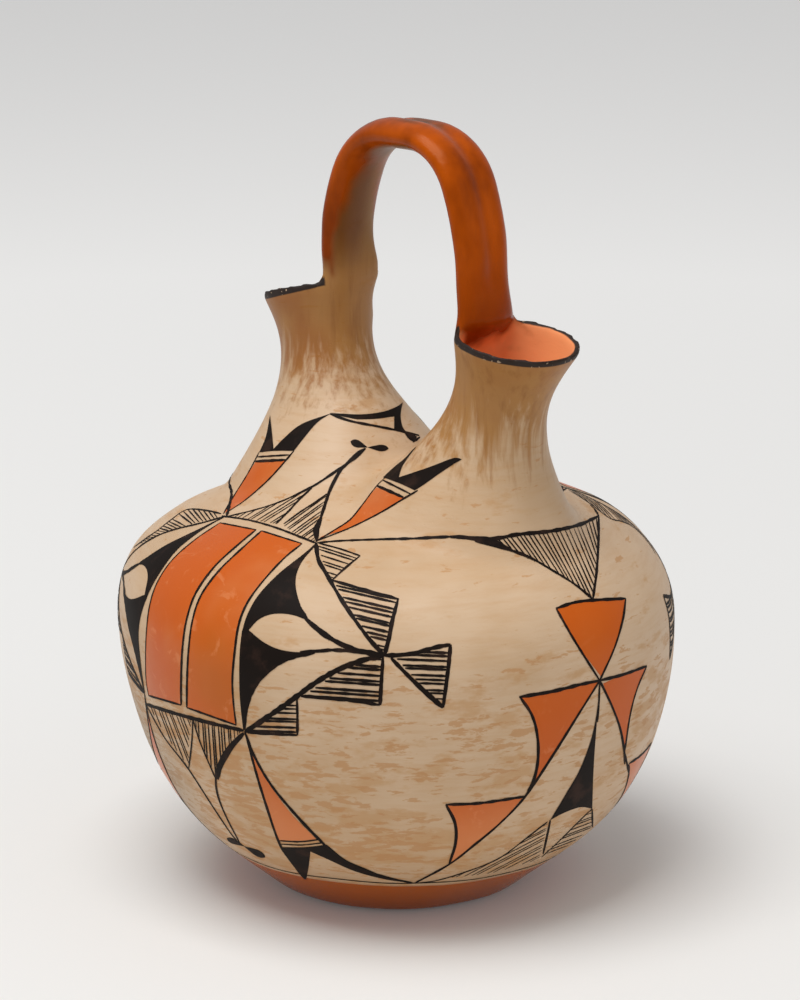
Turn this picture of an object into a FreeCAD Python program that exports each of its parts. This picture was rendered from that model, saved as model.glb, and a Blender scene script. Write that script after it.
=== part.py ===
"""Wedding vase: a round pot with two leaning spouts, joined by one strap handle.

One piece of fired clay. The frame has +Z up and its origin at the centre of the foot's
flat underside. The spouts lie along X, and the near one leans towards +X. Sizes are in mm.
"""

import FreeCAD, Part
import os
import Sketcher
from FreeCAD import Placement, Rotation, Vector

NODE = "wedding_vase"

# Each row is an alias, a value and what it sets.
SIZES = [
    ("foot_radius", 54.4, "flat underside, out from the axis"),
    ("foot_bevel", 2, "bevel of the foot's edge"),
    ("flare_share", 0.387, "straight lower wall's end, as a share of the way out to the widest ring"),
    ("flare_height", 20.3, "end of the straight lower wall, up from the floor"),
    ("belly_radius", 117.2, "the globe's widest ring"),
    ("belly_height", 116, "height of the widest ring"),
    ("shoulder_round", 43, "radius of the shoulder's arc"),
    ("dome_rise", 60, "top of the globe, up from its widest ring"),
    ("wall", 5.5, "clay thickness of globe and spouts"),
    ("lip", 4, "clay thickness at the lip"),
    ("lip_bevel", 1.2, "bevel of the lip's outer edge"),
    ("skirt_rise", 42, "near spout's lowest ring, up from the globe's widest ring"),
    ("skirt_radius", 58, "spout ring just under the globe's surface"),
    ("skirt_run", 15, "from the skirt ring up to the collar ring"),
    ("collar_radius", 41, "spout ring where the skirt has turned upwards"),
    ("collar_run", 22, "from the collar ring up to the throat ring"),
    ("throat_radius", 26, "spout ring above the collar"),
    ("throat_run", 22, "from the throat ring up to the waist ring"),
    ("waist_radius", 20, "narrowest ring of the spout"),
    ("waist_run", 14, "from the waist ring up to the neck ring"),
    ("neck_flare", 2.6, "how much wider the ring under the lip is than the narrowest ring"),
    ("neck_run", 12, "from the neck ring up to the mouth"),
    ("mouth_radius", 27, "outer edge of the lip"),
    ("near_share", 0.3464, "near spout's skirt, out from the axis, as a share of belly_radius"),
    ("near_out", 28.8, "how far the near mouth stands out beyond its skirt"),
    ("near_lean", 10, "tilt of the near spout's rings, in degrees"),
    ("far_lift", 6, "how much higher the far spout's rings are"),
    ("far_share", 0.2986, "far spout's skirt, out from the axis, as a share of belly_radius"),
    ("far_out", 14.6, "how far the far mouth stands out beyond its skirt"),
    ("far_lean", 16, "tilt of the far spout's rings, in degrees"),
    ("far_sway", 4, "how far the far mouth stands off the spouts' line"),
    ("strap_width", 29, "handle, across"),
    ("strap_thickness", 13.5, "handle, through its middle"),
    ("spring_rise", 13, "where both legs start to bend, up from the far mouth"),
    ("arch_rise", 55.6, "handle's centre line at its top, up from where it starts to bend"),
    ("crown_run", 11, "level stretch of the handle at its top"),
    ("crown_shift", 0.8, "level stretch's middle, off the middle between the legs"),
    ("near_tuck", 3.2, "how far the near leg leans in above its lip"),
    ("far_tuck", 1.2, "how far the far leg leans in above its lip"),
    ("saddle_bite", 2.2, "how deep the handle's underside sits inside the lip's edge"),
    ("saddle_width", 32, "handle where it leaves a lip, across"),
    ("root_width", 16, "foot of a leg inside the spout's wall, across"),
    ("root_thickness", 3.4, "foot of a leg inside the spout's wall, through"),
]

# Each row is an alias, the rule that works it out and what it gives.
WORKED_OUT = [
    ("flare_radius", "foot_radius + (belly_radius - foot_radius) * flare_share",
     "the straight lower wall's end, from the axis"),
    ("neck_radius", "waist_radius + neck_flare", "ring under the lip"),
    ("skirt_height", "belly_height + skirt_rise", "height of both skirt rings"),
    ("collar_height", "skirt_height + skirt_run", "near spout's collar ring"),
    ("throat_height", "collar_height + collar_run", "near spout's throat ring"),
    ("waist_height", "throat_height + throat_run", "near spout's waist ring"),
    ("neck_height", "waist_height + waist_run", "near spout's neck ring"),
    ("mouth_height", "neck_height + neck_run", "near spout's mouth, at its middle"),
    ("near_root", "belly_radius * near_share", "near skirt, out from the axis"),
    ("far_root", "belly_radius * far_share", "far skirt, out from the axis"),
    ("strap_depth", "saddle_bite + strap_thickness / 2", "handle's middle, in from the lip"),
    ("near_over_lip", "near_root + near_out - (mouth_radius - strap_depth) * cos(near_lean)",
     "handle's middle over the near lip, out from the axis"),
    ("far_over_lip", "far_root + far_out - (mouth_radius - strap_depth) * cos(far_lean)",
     "handle's middle over the far lip, out from the axis"),
    ("near_leg", "near_over_lip - near_tuck", "near leg where it starts to bend"),
    ("far_leg", "far_over_lip - far_tuck", "far leg where it starts to bend"),
    ("spring_height", "mouth_height + far_lift + spring_rise", "where both legs start to bend"),
    ("arch_height", "spring_height + arch_rise", "handle's centre line at its top"),
    ("arch_middle", "(near_leg - far_leg) / 2 + crown_shift", "level stretch's middle"),
]

OUTER_LEVELS = ["skirt", "collar", "throat", "waist", "neck", "mouth"]
BORE_LEVELS = ["skirt", "collar", "throat", "waist", "mouth"]

# The bore's lowest rings also drop inside the clay, because the spout is nearly flat there.
BORE_DROP = {"skirt": 1, "collar": 0.5}

# Inside corners of the shoulder, as degrees round its arc.
SHOULDER_TURNS = [32, 64]

# Points of a sketch's geometry, the sketch's origin and its upright axis.
START, END, MIDDLE = range(1, 4)
ORIGIN, UPRIGHT = (-1, 1), -2

SIGN = {"near": "", "far": "-"}  # the far spout leans towards -X
UP = Vector(0, 0, 1)
UPWARDS = Vector(0, 1, 0)  # headings inside an upright sketch
LEFTWARDS = Vector(-1, 0, 0)
ABOUT_Y = Vector(0, 1, 0)
FULL_TURN = 360
FLAT = 0.001  # an edge that lies on the floor reaches no higher


def make_sheet(doc):
    """Lists every driving size in one sheet, and below them what is worked out from them."""
    cells = doc.addObject("Spreadsheet::Sheet", "Sizes")
    rows = SIZES + [(alias, f"={rule}", meaning) for alias, rule, meaning in WORKED_OUT]
    for row, (alias, content, meaning) in enumerate(rows, start=1):
        cells.set(f"A{row}", alias)
        cells.set(f"B{row}", str(content))
        cells.setAlias(f"B{row}", alias)
        cells.set(f"C{row}", meaning)
    doc.recompute()


def value(sketch, rule):
    """Works out a rule of the sheet, to draw a sketch near its final form."""
    return float(sketch.evalExpression(rule))


def new_sketch(body, name, role):
    """Adds an empty sketch on one of the body's own origin planes."""
    sketch = body.newObject("Sketcher::SketchObject", name)
    planes = {plane.Role: plane for plane in body.Origin.OriginFeatures}
    sketch.AttachmentSupport = [(planes[role], "")]
    sketch.MapMode = "FlatFace"
    return sketch


def join(sketch, first, second):
    """Puts two points of a sketch together."""
    sketch.addConstraint(Sketcher.Constraint("Coincident", *first, *second))


def tie(sketch, kind, items, rule):
    """Adds one dimension to a sketch and binds it to a rule of the sheet."""
    index = sketch.addConstraint(Sketcher.Constraint(kind, *items, value(sketch, rule)))
    sketch.setExpression(f"Constraints[{index}]", rule)


def read_off(sketch, kind, items, name):
    """Adds a dimension that only reports what the sketch gives, under a name."""
    index = sketch.addConstraint(Sketcher.Constraint(kind, *items, 1))
    sketch.setDriving(index, False)
    sketch.renameConstraint(index, name)


def tie_point(sketch, point, across=None, up=None):
    """Ties a point to its distances from the sketch's origin."""
    if across:
        tie(sketch, "DistanceX", (*ORIGIN, *point), across)
    if up:
        tie(sketch, "DistanceY", (*ORIGIN, *point), up)


def smooth(sketch, chain):
    """Makes each line or arc of a chain run on smoothly from the one before."""
    for first, second in zip(chain, chain[1:]):
        sketch.addConstraint(Sketcher.Constraint("Tangent", first, END, second, START))


def draw_arc(sketch, middle, start, end):
    """Draws an anticlockwise arc round a middle from one point to another."""
    circle = Part.Circle(middle, UP, middle.distanceToPoint(start))
    turn = [circle.parameter(point) for point in (start, end)]
    return sketch.addGeometry(Part.ArcOfCircle(circle, *turn), False)


def draw_line(sketch, start, end):
    """Draws a straight line between two points."""
    return sketch.addGeometry(Part.LineSegment(start, end), False)


def point_at(sketch, x_rule, y_rule):
    """Works out a point of a sketch from the rules for its two distances."""
    return Vector(value(sketch, x_rule), value(sketch, y_rule), 0)


def draw_bend(sketch, start, heading, end, end_heading):
    """Draws two arcs that turn left, smoothly, from one heading to another.

    A guide runs straight on from each end, both equally far, and the line that joins them
    touches both arcs where they meet. Such a pair of arcs fits between any two ends, so the
    bend follows every change of size. Returns the arcs and the guides.
    """
    across = end - start
    spread = 1 - heading.dot(end_heading)
    reach = across.dot(heading + end_heading)
    guide = ((reach**2 + 2 * spread * across.dot(across)) ** 0.5 - reach) / (2 * spread)
    first_corner = start + heading * guide
    last_corner = end - end_heading * guide
    meeting = (first_corner + last_corner) / 2
    middles = []
    for point, facing in ((start, heading), (end, end_heading)):
        inwards = Vector(-facing.y, facing.x, 0)
        gap = meeting - point
        middles.append(point + inwards * (gap.dot(gap) / (2 * gap.dot(inwards))))
    arcs = [draw_arc(sketch, middles[0], start, meeting), draw_arc(sketch, middles[1], meeting, end)]
    stops = [start, first_corner, meeting, last_corner, end]
    guides = [draw_line(sketch, *ends) for ends in zip(stops, stops[1:])]
    for line in guides:
        sketch.setConstruction(line, True)
    smooth(sketch, arcs)
    smooth(sketch, guides[1:3])
    join(sketch, (guides[0], END), (guides[1], START))
    join(sketch, (guides[2], END), (guides[3], START))
    for guide_end, arc_end in (
        ((guides[0], START), (arcs[0], START)),
        ((guides[1], END), (arcs[0], END)),
        ((guides[3], END), (arcs[1], END)),
    ):
        sketch.addConstraint(Sketcher.Constraint("Tangent", *guide_end, *arc_end))
    sketch.addConstraint(Sketcher.Constraint("Equal", guides[0], guides[3]))
    return arcs, guides


def globe_outside(body):
    """Draws half of the globe's upright section, as one chain of tangent lines and arcs.

    It runs out along the floor and up the straight flare, then round the two arcs of the
    lower wall, the shoulder and the dome, which is level where it meets the axis.
    """
    sketch = new_sketch(body, "GlobeOutside", "XZ_Plane")
    foot = point_at(sketch, "Sizes.foot_radius", "0")
    flare = point_at(sketch, "Sizes.flare_radius", "Sizes.flare_height")
    widest = point_at(sketch, "Sizes.belly_radius", "Sizes.belly_height")
    shoulder = point_at(sketch, "Sizes.belly_radius - Sizes.shoulder_round", "Sizes.belly_height")
    crown = point_at(sketch, "0", "Sizes.belly_height + Sizes.dome_rise")
    small = widest.x - shoulder.x
    rise = crown.y - shoulder.y
    dome_round = (shoulder.x**2 + rise**2 - small**2) / (2 * (rise - small))
    dome = Vector(0, crown.y - dome_round, 0)
    above_shoulder = dome + (shoulder - dome).normalize() * dome_round

    base = draw_line(sketch, Vector(), foot)
    wall = draw_line(sketch, foot, flare)
    slope = (flare - foot).normalize()
    lower_arcs = draw_bend(sketch, flare, slope, widest, UPWARDS)[0]
    shoulder_arc = draw_arc(sketch, shoulder, widest, above_shoulder)
    dome_arc = draw_arc(sketch, dome, above_shoulder, crown)
    axis = draw_line(sketch, crown, Vector())

    join(sketch, (base, START), ORIGIN)
    join(sketch, (base, END), (wall, START))
    smooth(sketch, [wall, lower_arcs[0]])
    smooth(sketch, [lower_arcs[1], shoulder_arc, dome_arc])
    join(sketch, (dome_arc, END), (axis, START))
    join(sketch, (axis, END), ORIGIN)
    sketch.addConstraint(Sketcher.Constraint("Horizontal", base))
    sketch.addConstraint(Sketcher.Constraint("Vertical", axis))
    sketch.addConstraint(Sketcher.Constraint("PointOnObject", dome_arc, MIDDLE, UPRIGHT))
    tie_point(sketch, (wall, START), across="Sizes.foot_radius")
    tie_point(sketch, (wall, END), "Sizes.flare_radius", "Sizes.flare_height")
    tie_point(sketch, (shoulder_arc, START), "Sizes.belly_radius", "Sizes.belly_height")
    tie_point(sketch, (shoulder_arc, MIDDLE),
              "Sizes.belly_radius - Sizes.shoulder_round", "Sizes.belly_height")
    tie_point(sketch, (dome_arc, END), up="Sizes.belly_height + Sizes.dome_rise")
    for kind, name in (("DistanceX", "knee_radius"), ("DistanceY", "knee_height")):
        read_off(sketch, kind, (*ORIGIN, lower_arcs[0], END), name)
    return sketch


def globe_inside(body, outside):
    """Draws the hollow's upright section: straight runs, each about one wall further in.

    Its corner on the lower wall sits inside the place where the two outer arcs meet.
    """
    sketch = new_sketch(body, "GlobeInside", "XZ_Plane")
    corners = [
        ("0", "Sizes.wall"),
        ("Sizes.foot_radius - Sizes.wall / 2", "Sizes.wall"),
        ("Sizes.flare_radius - 0.7 * Sizes.wall", "Sizes.flare_height + 0.7 * Sizes.wall"),
        (f"{outside.Name}.Constraints.knee_radius / 1 mm - Sizes.wall",
         f"{outside.Name}.Constraints.knee_height / 1 mm"),
        ("Sizes.belly_radius - Sizes.wall", "Sizes.belly_height"),
    ]
    for turn in SHOULDER_TURNS:
        corners.append((
            "Sizes.belly_radius - Sizes.shoulder_round"
            f" + (Sizes.shoulder_round - Sizes.wall) * cos({turn})",
            f"Sizes.belly_height + (Sizes.shoulder_round - Sizes.wall) * sin({turn})",
        ))
    corners.append(("0", "Sizes.belly_height + Sizes.dome_rise - Sizes.wall"))
    points = [point_at(sketch, *rules) for rules in corners]
    lines = [draw_line(sketch, *ends) for ends in zip(points, points[1:] + points[:1])]
    for line, following, rules in zip(lines, lines[1:] + lines[:1], corners):
        join(sketch, (line, END), (following, START))
        tie_point(sketch, (line, START), *rules)
    return sketch


def turn_profile(body, kind, name, sketch):
    """Spins a profile once round the globe's axis, to add clay or to take it away."""
    turned = body.newObject(f"PartDesign::{kind}", name)
    turned.Profile = sketch
    turned.ReferenceAxis = (sketch, ["V_Axis"])
    turned.Angle = FULL_TURN
    return turned


def set_out(sketch, place, turn_about, angle):
    """Moves a sketch off its plane to a place and turns it, all by rules of the sheet."""
    sketch.AttachmentOffset = Placement(Vector(), Rotation(turn_about, 1))
    for letter, rule in zip("xyz", place):
        sketch.setExpression(f".AttachmentOffset.Base.{letter}", rule)
    sketch.setExpression(".AttachmentOffset.Rotation.Angle", angle)


def spout_height(side, level):
    """Gives the rule for a ring's height: all of the far spout's but its skirt are lifted."""
    lifted = side == "far" and level != "skirt"
    return f"(Sizes.{level}_height + Sizes.far_lift)" if lifted else f"Sizes.{level}_height"


def spout_share(side, level):
    """Gives the rule for how far up a spout a ring is: 0 at the skirt and 1 at the mouth."""
    rise = f"({spout_height(side, level)} - Sizes.skirt_height)"
    return f"({rise} / ({spout_height(side, 'mouth')} - Sizes.skirt_height))"


def spout_run(side, level):
    """Gives the rule for a ring's middle, out from the axis: a spout leans outwards evenly."""
    return f"Sizes.{side}_root + {spout_share(side, level)} * Sizes.{side}_out"


def spout_place(side, level, drop="0"):
    """Gives the three rules for a ring's middle. The far spout also sways a little off line."""
    sway = {"near": "0", "far": f"{spout_share(side, level)}^2 * Sizes.far_sway"}[side]
    return f"{SIGN[side]}({spout_run(side, level)})", sway, f"{spout_height(side, level)} - {drop}"


def spout_rings(body, side, name, levels, inset="0", lip="0"):
    """Draws rings of a spout, upwards to its mouth, inset by the clay's thickness or 0."""
    rings = []
    for level in levels:
        thickness = lip if level == "mouth" else inset
        drop = f"{BORE_DROP.get(level, 0)} * {thickness}"
        ring = new_sketch(body, f"{name}_{level}", "XY_Plane")
        circle = ring.addGeometry(Part.Circle(Vector(), UP, 1), False)
        join(ring, (circle, MIDDLE), ORIGIN)
        tie(ring, "Radius", (circle,), f"Sizes.{level}_radius - {thickness}")
        lean = {"near": "Sizes.near_lean", "far": "180 - Sizes.far_lean"}[side]
        set_out(ring, spout_place(side, level, drop), ABOUT_Y, lean)
        rings.append(ring)
    return rings


def loft(body, kind, name, sections, straight=False):
    """Stretches one skin over a row of sections, smooth or straight from each to the next."""
    lofted = body.newObject(f"PartDesign::{kind}", name)
    lofted.Profile = sections[0]
    lofted.Sections = sections[1:]
    lofted.Ruled = straight
    return lofted


def strap_section(body, name, place, width, thickness):
    """Draws the handle's section, an ellipse that is wide across the spouts' line."""
    sketch = new_sketch(body, name, "XY_Plane")
    half_width = f"({width}) / 2"
    half_thickness = f"({thickness}) / 2"
    long = Vector(0, value(sketch, half_width), 0)
    short = Vector(-value(sketch, half_thickness), 0, 0)
    ellipse = sketch.addGeometry(Part.Ellipse(long, short, Vector()), False)
    sketch.exposeInternalGeometry(ellipse)
    long_axis, short_axis = ellipse + 1, ellipse + 2
    join(sketch, (ellipse, MIDDLE), ORIGIN)
    sketch.addConstraint(Sketcher.Constraint("Vertical", long_axis))
    tie(sketch, "Distance", (long_axis,), f"2 * {half_width}")
    tie(sketch, "Distance", (short_axis,), f"2 * {half_thickness}")
    set_out(sketch, place, UP, "0")
    return sketch


def handle_path(body):
    """Draws the handle's centre line: a bend over each leg and a level stretch on top."""
    sketch = new_sketch(body, "ArchPath", "XZ_Plane")
    near_foot = point_at(sketch, "Sizes.near_leg", "Sizes.spring_height")
    far_foot = point_at(sketch, "-Sizes.far_leg", "Sizes.spring_height")
    near_crown = point_at(sketch, "Sizes.arch_middle + Sizes.crown_run / 2", "Sizes.arch_height")
    far_crown = point_at(sketch, "Sizes.arch_middle - Sizes.crown_run / 2", "Sizes.arch_height")
    near_arcs, near_guides = draw_bend(sketch, near_foot, UPWARDS, near_crown, LEFTWARDS)
    crown = draw_line(sketch, near_crown, far_crown)
    far_arcs, far_guides = draw_bend(sketch, far_crown, LEFTWARDS, far_foot, -UPWARDS)
    smooth(sketch, [near_arcs[1], crown, far_arcs[0]])
    sketch.addConstraint(Sketcher.Constraint("Horizontal", crown))
    sketch.addConstraint(Sketcher.Constraint("Vertical", near_guides[0]))
    sketch.addConstraint(Sketcher.Constraint("Vertical", far_guides[3]))
    tie_point(sketch, (near_arcs[0], START), "Sizes.near_leg", "Sizes.spring_height")
    tie_point(sketch, (far_arcs[1], END), "-Sizes.far_leg", "Sizes.spring_height")
    tie_point(sketch, (crown, START),
              "Sizes.arch_middle + Sizes.crown_run / 2", "Sizes.arch_height")
    tie_point(sketch, (crown, END), across="Sizes.arch_middle - Sizes.crown_run / 2")
    return sketch


def add_leg(body, side, spring_section):
    """Runs one leg of the handle down from the arch, over the lip and into the wall."""
    def beside(level, across, depth):
        sideways, height = spout_place(side, level)[1:]
        lift = f"(Sizes.{level}_radius - {depth}) * sin(Sizes.{side}_lean)"
        return f"{SIGN[side]}({across})", sideways, f"{height} + {lift}"

    over_lip = beside("mouth", f"Sizes.{side}_over_lip", "Sizes.strap_depth")
    saddle = strap_section(body, f"{side}_saddle_section", over_lip,
                           "Sizes.saddle_width", "Sizes.strap_thickness")
    in_wall = beside("neck", spout_run(side, "neck")
                     + f" - (Sizes.neck_radius - Sizes.wall / 2) * cos(Sizes.{side}_lean)",
                     "Sizes.wall / 2")
    root = strap_section(body, f"{side}_root_section", in_wall,
                         "Sizes.root_width", "Sizes.root_thickness")
    return loft(body, "AdditiveLoft", f"{side}_leg", [spring_section, saddle, root], straight=True)


def add_handle(body):
    """Sweeps the strap along the arch and runs both of its legs into the spouts."""
    sections = {
        side: strap_section(body, f"{side}_spring_section",
                            (f"{SIGN[side]}Sizes.{side}_leg", "0", "Sizes.spring_height"),
                            "Sizes.strap_width", "Sizes.strap_thickness")
        for side in SIGN
    }
    arch = body.newObject("PartDesign::AdditivePipe", "Arch")
    arch.Profile = sections["near"]
    arch.Spine = handle_path(body)
    for side in SIGN:
        add_leg(body, side, sections[side])


def dress_edges(doc, body, kind, name, chosen, rule):
    """Rounds or bevels the edges that a test picks from the shape made so far."""
    doc.recompute()
    base = body.Tip
    names = [
        f"Edge{number}"
        for number, edge in enumerate(base.Shape.Edges, start=1)
        if chosen(edge, doc.Sizes)
    ]
    dressed = body.newObject(f"PartDesign::{kind}", name)
    dressed.Base = (base, names)
    dressed.setExpression({"Fillet": "Radius", "Chamfer": "Size"}[kind], rule)


def is_foot_edge(edge, sizes):
    """Says whether an edge lies on the floor."""
    return edge.BoundBox.ZMax < FLAT


def is_lip_edge(edge, sizes):
    """Says whether an edge is the outer one of a mouth's two rings."""
    above = edge.isClosed() and edge.BoundBox.ZMin > sizes.waist_height
    return above and edge.BoundBox.YLength > 2 * sizes.mouth_radius - sizes.lip


def build(doc):
    """Builds the vase: clay first, then the hollow, the dressed edges and the handle."""
    body = doc.addObject("PartDesign::Body", NODE)
    body.Label = NODE
    outside = globe_outside(body)
    turn_profile(body, "Revolution", "Globe", outside)
    for side in SIGN:
        rings = spout_rings(body, side, f"{side}_outside", OUTER_LEVELS)
        loft(body, "AdditiveLoft", f"{side}_spout", rings)
    dress_edges(doc, body, "Chamfer", "FootEdge", is_foot_edge, "Sizes.foot_bevel")
    turn_profile(body, "Groove", "Hollow", globe_inside(body, outside))
    for side in SIGN:
        rings = spout_rings(body, side, f"{side}_inside", BORE_LEVELS, "Sizes.wall", "Sizes.lip")
        loft(body, "SubtractiveLoft", f"{side}_bore", rings, straight=True)
    dress_edges(doc, body, "Chamfer", "LipEdges", is_lip_edge, "Sizes.lip_bevel")
    add_handle(body)
    doc.recompute()
    return body


def check(doc, body):
    """Stops if any feature failed, or if the vase isn't one valid solid."""
    for item in doc.Objects:
        if "Invalid" in item.State or "Error" in item.State:
            raise RuntimeError(f"{item.Name} failed: {item.State}")
    shape = body.Shape
    if shape.isNull() or not shape.isValid() or len(shape.Solids) != 1:
        raise RuntimeError(f"{body.Label} isn't one valid solid")


def main():
    doc = FreeCAD.newDocument("WeddingVase")
    make_sheet(doc)
    body = build(doc)
    check(doc, body)
    os.makedirs("parts", exist_ok=True)
    body.Shape.exportStep(f"parts/{body.Label}.step")
    box = body.Shape.BoundBox
    print(f"{body.Label}: {box.XLength:.1f} x {box.YLength:.1f} x {box.ZLength:.1f} mm,"
          f" {body.Shape.Volume / 1000:.0f} cubic cm of clay")


main()
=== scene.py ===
# %% [markdown]
# # A painted wedding vase
#
# The vase is one piece of hand-built clay: a globe, two leaning spouts and one strap handle.
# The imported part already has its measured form. This lesson gives that form a hand-made
# skin, paints its slips and brush lines on it, and lights it as in the photograph.
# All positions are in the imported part's own frame, with +Z up and the foot's centre at zero.
# The maths works in millimetres, and Blender gets metres.

import math

import bpy
import numpy as np
from mathutils import Euler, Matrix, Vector
from mathutils.bvhtree import BVHTree
from mathutils.geometry import delaunay_2d_cdt


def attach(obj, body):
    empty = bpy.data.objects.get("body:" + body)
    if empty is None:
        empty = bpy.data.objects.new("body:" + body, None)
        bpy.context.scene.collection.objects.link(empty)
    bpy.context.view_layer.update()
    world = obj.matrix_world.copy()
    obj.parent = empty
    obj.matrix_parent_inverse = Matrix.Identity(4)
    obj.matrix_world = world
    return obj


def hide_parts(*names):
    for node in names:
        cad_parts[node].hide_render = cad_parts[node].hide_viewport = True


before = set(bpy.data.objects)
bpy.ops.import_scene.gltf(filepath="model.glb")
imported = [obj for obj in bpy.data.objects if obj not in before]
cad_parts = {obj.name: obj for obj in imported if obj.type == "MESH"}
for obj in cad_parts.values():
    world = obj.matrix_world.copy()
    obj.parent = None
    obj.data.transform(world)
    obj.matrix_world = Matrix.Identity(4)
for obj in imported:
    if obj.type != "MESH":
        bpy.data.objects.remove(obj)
bpy.context.view_layer.update()
MM = 0.001

# %% [markdown]
# ## The camera
#
# The photograph looks at the broad side from the right, a little from above, through a long
# lens. The camera stands on a circle round the vase, so it takes a turn, a height angle and
# a distance. It aims at a point just beside the vase's axis. The lens follows from the
# picture's width, because a wide sensor on its side gives the frame.

# %% Set up the camera
CAMERA_TURN = math.radians(46.25)
CAMERA_RISE = math.radians(14.91)
CAMERA_DISTANCE = 1491.7
AIM_RIGHT = 1.09
AIM_HEIGHT = 162.24
PICTURE_WIDTH, PICTURE_HEIGHT = 800, 1000
FOCAL_PIXELS = 3573
SENSOR_WIDTH = 36

to_right = np.array([math.cos(CAMERA_TURN), math.sin(CAMERA_TURN), 0])
to_camera = np.array([
    math.sin(CAMERA_TURN) * math.cos(CAMERA_RISE),
    -math.cos(CAMERA_TURN) * math.cos(CAMERA_RISE),
    math.sin(CAMERA_RISE),
])
to_top = np.cross(to_camera, to_right)
aim = to_right * AIM_RIGHT + np.array([0, 0, AIM_HEIGHT])
eye = aim + to_camera * CAMERA_DISTANCE

camera_data = bpy.data.cameras.new("camera")
camera_data.sensor_fit = "HORIZONTAL"
camera_data.sensor_width = SENSOR_WIDTH
camera_data.lens = FOCAL_PIXELS / PICTURE_WIDTH * SENSOR_WIDTH
camera_data.clip_end = 50
camera = bpy.data.objects.new("camera", camera_data)
bpy.context.scene.collection.objects.link(camera)
camera.location = Vector(eye * MM)
camera.rotation_euler = Vector(-to_camera).to_track_quat("-Z", "Y").to_euler()
bpy.context.scene.camera = camera
print("camera at", [round(n) for n in eye], "mm, lens", round(camera_data.lens, 1), "mm")

# %% [markdown]
# ## A kit for finishes
#
# The finishes are built from shader nodes. A few short functions keep that readable: each
# adds a node, fills its inputs with values or links, and returns what it gives.

# %% A small kit for colours and nodes
def from_screen(red, green, blue):
    """Turns a colour as a screen shows it, 0 to 255, into the light values that nodes take."""
    parts = [part / 255 for part in (red, green, blue)]
    light = [p / 12.92 if p <= 0.04045 else ((p + 0.055) / 1.055) ** 2.4 for p in parts]
    return (*light, 1)


def put(tree, kind, inputs=None, **settings):
    """Adds a node, sets its options, and fills each input with a value or a link."""
    node = tree.nodes.new(kind)
    for name, setting in settings.items():
        setattr(node, name, setting)
    for name, content in (inputs or {}).items():
        if isinstance(content, bpy.types.NodeSocket):
            tree.links.new(content, node.inputs[name])
        else:
            node.inputs[name].default_value = content
    return node


def math_node(tree, operation, first, second):
    """Works out one sum on two values or links."""
    return put(tree, "ShaderNodeMath", {0: first, 1: second}, operation=operation).outputs[0]


def plus(tree, first, second):
    """Adds two values or links."""
    return math_node(tree, "ADD", first, second)


def times(tree, first, second):
    """Multiplies two values or links."""
    return math_node(tree, "MULTIPLY", first, second)


def blend_in(tree, amount, base, coat):
    """Lays one colour over another by an amount from 0 to 1."""
    colours = {0: amount, 6: base, 7: coat}
    return put(tree, "ShaderNodeMix", colours, data_type="RGBA").outputs[2]


def step(tree, value, start, end):
    """Turns a value into a soft step, from 0 at the start to 1 at the end."""
    inputs = {"Value": value, "From Min": start, "From Max": end}
    node = put(tree, "ShaderNodeMapRange", inputs, interpolation_type="SMOOTHSTEP")
    return node.outputs["Result"]


def either(tree, amount, first, second):
    """Mixes two plain values or links by an amount from 0 to 1."""
    inputs = {"Value": amount, "To Min": first, "To Max": second}
    return put(tree, "ShaderNodeMapRange", inputs).outputs["Result"]


def cloud_at(tree, place, middle, uneven, start, end):
    """Gives a soft patch round one place, from 0 at the start distance to 1 at the end."""
    gap = put(tree, "ShaderNodeVectorMath", {0: place, 1: middle}, operation="DISTANCE")
    return step(tree, plus(tree, gap.outputs["Value"], uneven), start, end)


def grain(tree, place, stretch, scale, detail=3.0, rough=0.55, warp=0.0):
    """Gives noise from 0 to 1, stretched along the object's axes."""
    turned = put(tree, "ShaderNodeMapping", {"Vector": place, "Scale": stretch})
    inputs = {"Vector": turned.outputs[0], "Scale": scale, "Detail": detail,
              "Roughness": rough, "Distortion": warp}
    return put(tree, "ShaderNodeTexNoise", inputs).outputs["Fac"]


def new_finish(name):
    """Starts a material and returns it with its tree, its shader and its coordinates."""
    finish = bpy.data.materials.new(name)
    finish.use_nodes = True
    tree = finish.node_tree
    shader = tree.nodes["Principled BSDF"]
    place = put(tree, "ShaderNodeTexCoord").outputs["Object"]
    return finish, tree, shader, place


print("node kit ready")

# %% [markdown]
# ## The light and the floor
#
# The vase stood in soft studio light from above, and its short shadow falls to the right. A
# large lamp hangs nearly overhead, a little to the left and in front, and the world fills in
# from all sides. The floor is one pale sheet, wide enough to fill the frame. The camera sees
# it glow a little, and more so farther from the vase, as a lit backdrop does.

# %% Make the lamps
LAMP_AIM = Vector((0, 0, 0.13))


def add_lamp(name, right, front, height, size, power):
    """Adds a square soft lamp, placed in metres as the camera sees it, aimed at the vase."""
    data = bpy.data.lights.new(name, "AREA")
    data.size = size
    data.energy = power
    lamp = bpy.data.objects.new(name, data)
    bpy.context.scene.collection.objects.link(lamp)
    level = np.array([to_camera[0], to_camera[1], 0]) / math.cos(CAMERA_RISE)
    place = Vector(to_right * right + level * front) + Vector((0, 0, height))
    lamp.location = place
    lamp.rotation_euler = (LAMP_AIM - place).to_track_quat("-Z", "Y").to_euler()
    return lamp


key_lamp = add_lamp("key_lamp", -0.42, 0.52, 2.2, 1.4, 37)
side_lamp = add_lamp("side_lamp", 1.3, 0.9, 0.9, 1.0, 1)
print("lamps:", key_lamp.name, side_lamp.name)

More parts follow.
